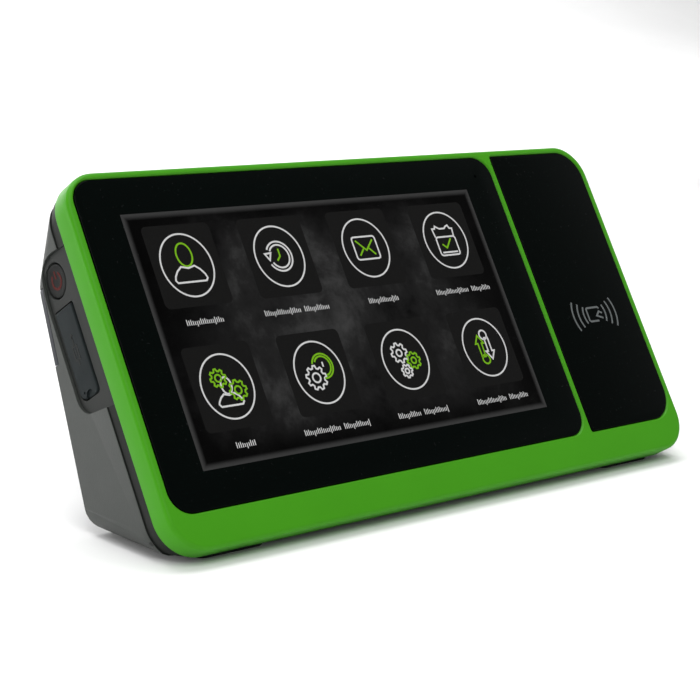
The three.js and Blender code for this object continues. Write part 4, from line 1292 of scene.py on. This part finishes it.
class TERMINAL_OT_feet(bpy.types.Operator):
    """Makes the four rubber feet with ribbed soles"""

    bl_idname = "terminal.feet"
    bl_label = "Feet"

    def execute(self, context):
        for number in range(1, 5):
            node = f"rubber_foot_{number}"
            low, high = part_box(node)
            mesh = self.pad((high.x - low.x) / MM, (high.y - low.y) / MM, (high.z - low.z) / MM)
            spot = Matrix.Translation(((low.x + high.x) / 2, (low.y + high.y) / 2, low.z)) @ Matrix.Scale(MM, 4)
            bmesh.ops.transform(mesh, matrix=UNFACE @ spot, verts=mesh.verts)
            piece(f"{node}_pad", mesh, ["foot"], stands_for=[node])
        return {"FINISHED"}

    def pad(self, long, wide, thick):
        """A stadium pad with its lower edge rounded and grooves across its sole."""
        shape = slab(-long / 2, long / 2, -wide / 2, wide / 2, -thick, 0, (wide / 2 - 0.05,) * 4, 10)
        round_at(shape, "z", 0, 0.4, 3)
        grooves = []
        for number in range(-3, 4):
            x = number * long / 9
            grooves.append(slab(x - 0.4, x + 0.4, -wide / 2 + 1, wide / 2 - 1, -0.3, 1, (0.3,) * 4, 3))
        return cut(shape, *grooves)


class TERMINAL_OT_inner_parts(bpy.types.Operator):
    """Finishes the inner pieces, and adds the chips that can be seen through the openings"""

    bl_idname = "terminal.inner_parts"
    bl_label = "Inner Parts"

    COATS = {
        "lcd_module": "pressed",
        "reader_board": "board",
        "microphone": "steel",
        "display_bracket": "pressed",
        "main_board": "board",
        "processor_shield": "steel",
        "clock_cell": "steel",
        "button_switch": "black",
        "side_board": "board",
        "port_board": "board",
        "battery_pack": "film",
        "battery_cradle": "black",
        "speaker": "black",
        "glass_gasket": "foot",
        "reader_gasket": "foot",
    }

    def execute(self, context):
        for node, key in self.COATS.items():
            coat_node(node, key)
        low, high = span("port_board")
        chips = []
        for number in range(4):
            y = low.y + 4 + number * 6.5
            x = low.x + 15 + (number % 2) * 1.6
            chips.append(slab(x - 1.2, x + 1.2, y - 1.6, y + 1.6, -high.z - 0.9, -high.z - 0.02))
        piece("port_board_chips", hem(merged(*chips), 0.1, 1), ["black"])
        return {"FINISHED"}


class TERMINAL_OT_stage(bpy.types.Operator):
    """Makes the floor, the soft studio lights and the camera"""

    bl_idname = "terminal.stage"
    bl_label = "Stage"

    LIGHTS = (
        ("key_softbox", (-0.5, -0.9, 1.4), (1.0, 1.0), 0.8, (0, 0, 0.05)),
        ("left_softbox", (-1.3, 0.7, 0.25), (0.9, 0.4), 0.48, (0, 0, 0.03)),
        ("top_softbox", (0.1, 0.4, 1.5), (1.3, 0.9), 1.0, (0, 0, 0.05)),
        ("backdrop_softbox", (0.4, 1.2, 1.9), (2.4, 1.2), 9.0, (0.6, 3.4, 1.2)),
    )

    def execute(self, context):
        context.scene.view_settings.view_transform = "Standard"
        self.floor()
        self.lights(context.scene)
        self.camera(context.scene)
        return {"FINISHED"}

    def floor(self):
        """A floor that curves up into a wall behind the part."""
        mesh = bmesh.new()
        half, near_edge, bend, radius, top = 6.0, -4.0, 2.2, 1.2, 3.5
        profile = [(near_edge, 0.0), (bend, 0.0)]
        for step in range(1, 17):
            turn = math.pi / 2 * step / 16
            profile.append((bend + radius * math.sin(turn), radius * (1 - math.cos(turn))))
        profile.append((bend + radius, top))
        chain = [mesh.verts.new((-half, y, z)) for y, z in profile]
        ridge = [mesh.edges.new(pair) for pair in zip(chain, chain[1:])]
        sheet = bmesh.ops.extrude_edge_only(mesh, edges=ridge)
        moved = [item for item in sheet["geom"] if isinstance(item, bmesh.types.BMVert)]
        bmesh.ops.translate(mesh, vec=(2 * half, 0, 0), verts=moved)
        bmesh.ops.recalc_face_normals(mesh, faces=mesh.faces)
        data = bpy.data.meshes.new("floor")
        mesh.to_mesh(data)
        mesh.free()
        data.shade_smooth()
        finish = Finish("studio_floor")
        paper = finish.ramp(finish.noise(3, 4), (0.3, (0.88, 0.88, 0.88)), (0.7, (0.92, 0.92, 0.92)))
        finish.shade(Base_Color=paper, Roughness=0.9, Specular_IOR_Level=0.1)
        data.materials.append(finish.material)
        sheet = bpy.data.objects.new("floor", data)
        bpy.context.scene.collection.objects.link(sheet)

    def lights(self, scene):
        world = bpy.data.worlds.new("studio")
        world.use_nodes = True
        world.node_tree.nodes["Background"].inputs["Color"].default_value = (1.0, 1.0, 1.0, 1)
        world.node_tree.nodes["Background"].inputs["Strength"].default_value = 0.4
        scene.world = world
        for name, place, size, share, target in self.LIGHTS:
            lamp = bpy.data.lights.new(name, "AREA")
            lamp.shape = "RECTANGLE"
            lamp.size, lamp.size_y = size
            lamp.energy = scene.terminal_stage.key_power * share
            thing = bpy.data.objects.new(name, lamp)
            thing.location = place
            way = Vector(target) - Vector(place)
            thing.rotation_euler = way.to_track_quat("-Z", "Y").to_euler()
            scene.collection.objects.link(thing)

    def camera(self, scene):
        stage = scene.terminal_stage
        lens = bpy.data.cameras.new("camera")
        lens.lens = stage.lens
        lens.sensor_width = 36
        lens.clip_start = 0.01
        viewer = bpy.data.objects.new("camera", lens)
        aim = Euler((math.pi / 2 - stage.tilt, 0, -stage.heading)).to_matrix().to_4x4()
        viewer.matrix_world = Matrix.Translation(stage.camera) @ aim @ Matrix.Rotation(stage.roll, 4, "Z")
        scene.collection.objects.link(viewer)
        scene.camera = viewer


STEPS = (
    TERMINAL_OT_front_frame,
    TERMINAL_OT_display_glass,
    TERMINAL_OT_display_icons,
    TERMINAL_OT_card_reader,
    TERMINAL_OT_rear_cover,
    TERMINAL_OT_mount_plate,
    TERMINAL_OT_power_button,
    TERMINAL_OT_port_flap,
    TERMINAL_OT_sockets,
    TERMINAL_OT_fasteners,
    TERMINAL_OT_feet,
    TERMINAL_OT_inner_parts,
    TERMINAL_OT_stage,
)


class TERMINAL_PT_panel(bpy.types.Panel):
    """Lists the pieces in the order they are made"""

    bl_idname = "TERMINAL_PT_panel"
    bl_label = "Card Terminal"
    bl_space_type = "VIEW_3D"
    bl_region_type = "UI"
    bl_category = "Terminal"

    def draw(self, context):
        for group in (context.scene.terminal_sizes, context.scene.terminal_colours, context.scene.terminal_stage):
            box = self.layout.box()
            for name in group.__annotations__:
                box.prop(group, name)
        for step in STEPS:
            self.layout.operator(step.bl_idname)


GROUPS = (TerminalSizes, TerminalColours, TerminalStage)
HOLDERS = ("terminal_sizes", "terminal_colours", "terminal_stage")


def register():
    for item in (*GROUPS, *STEPS, TERMINAL_PT_panel):
        bpy.utils.register_class(item)
    for name, group in zip(HOLDERS, GROUPS):
        setattr(bpy.types.Scene, name, PointerProperty(type=group))


def unregister():
    for name in HOLDERS:
        delattr(bpy.types.Scene, name)
    for item in reversed((*GROUPS, *STEPS, TERMINAL_PT_panel)):
        bpy.utils.unregister_class(item)


def main():
    """Registers the add-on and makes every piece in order."""
    register()
    for step in STEPS:
        group, name = step.bl_idname.split(".")
        getattr(getattr(bpy.ops, group), name)()


if __name__ == "__main__":
    main()
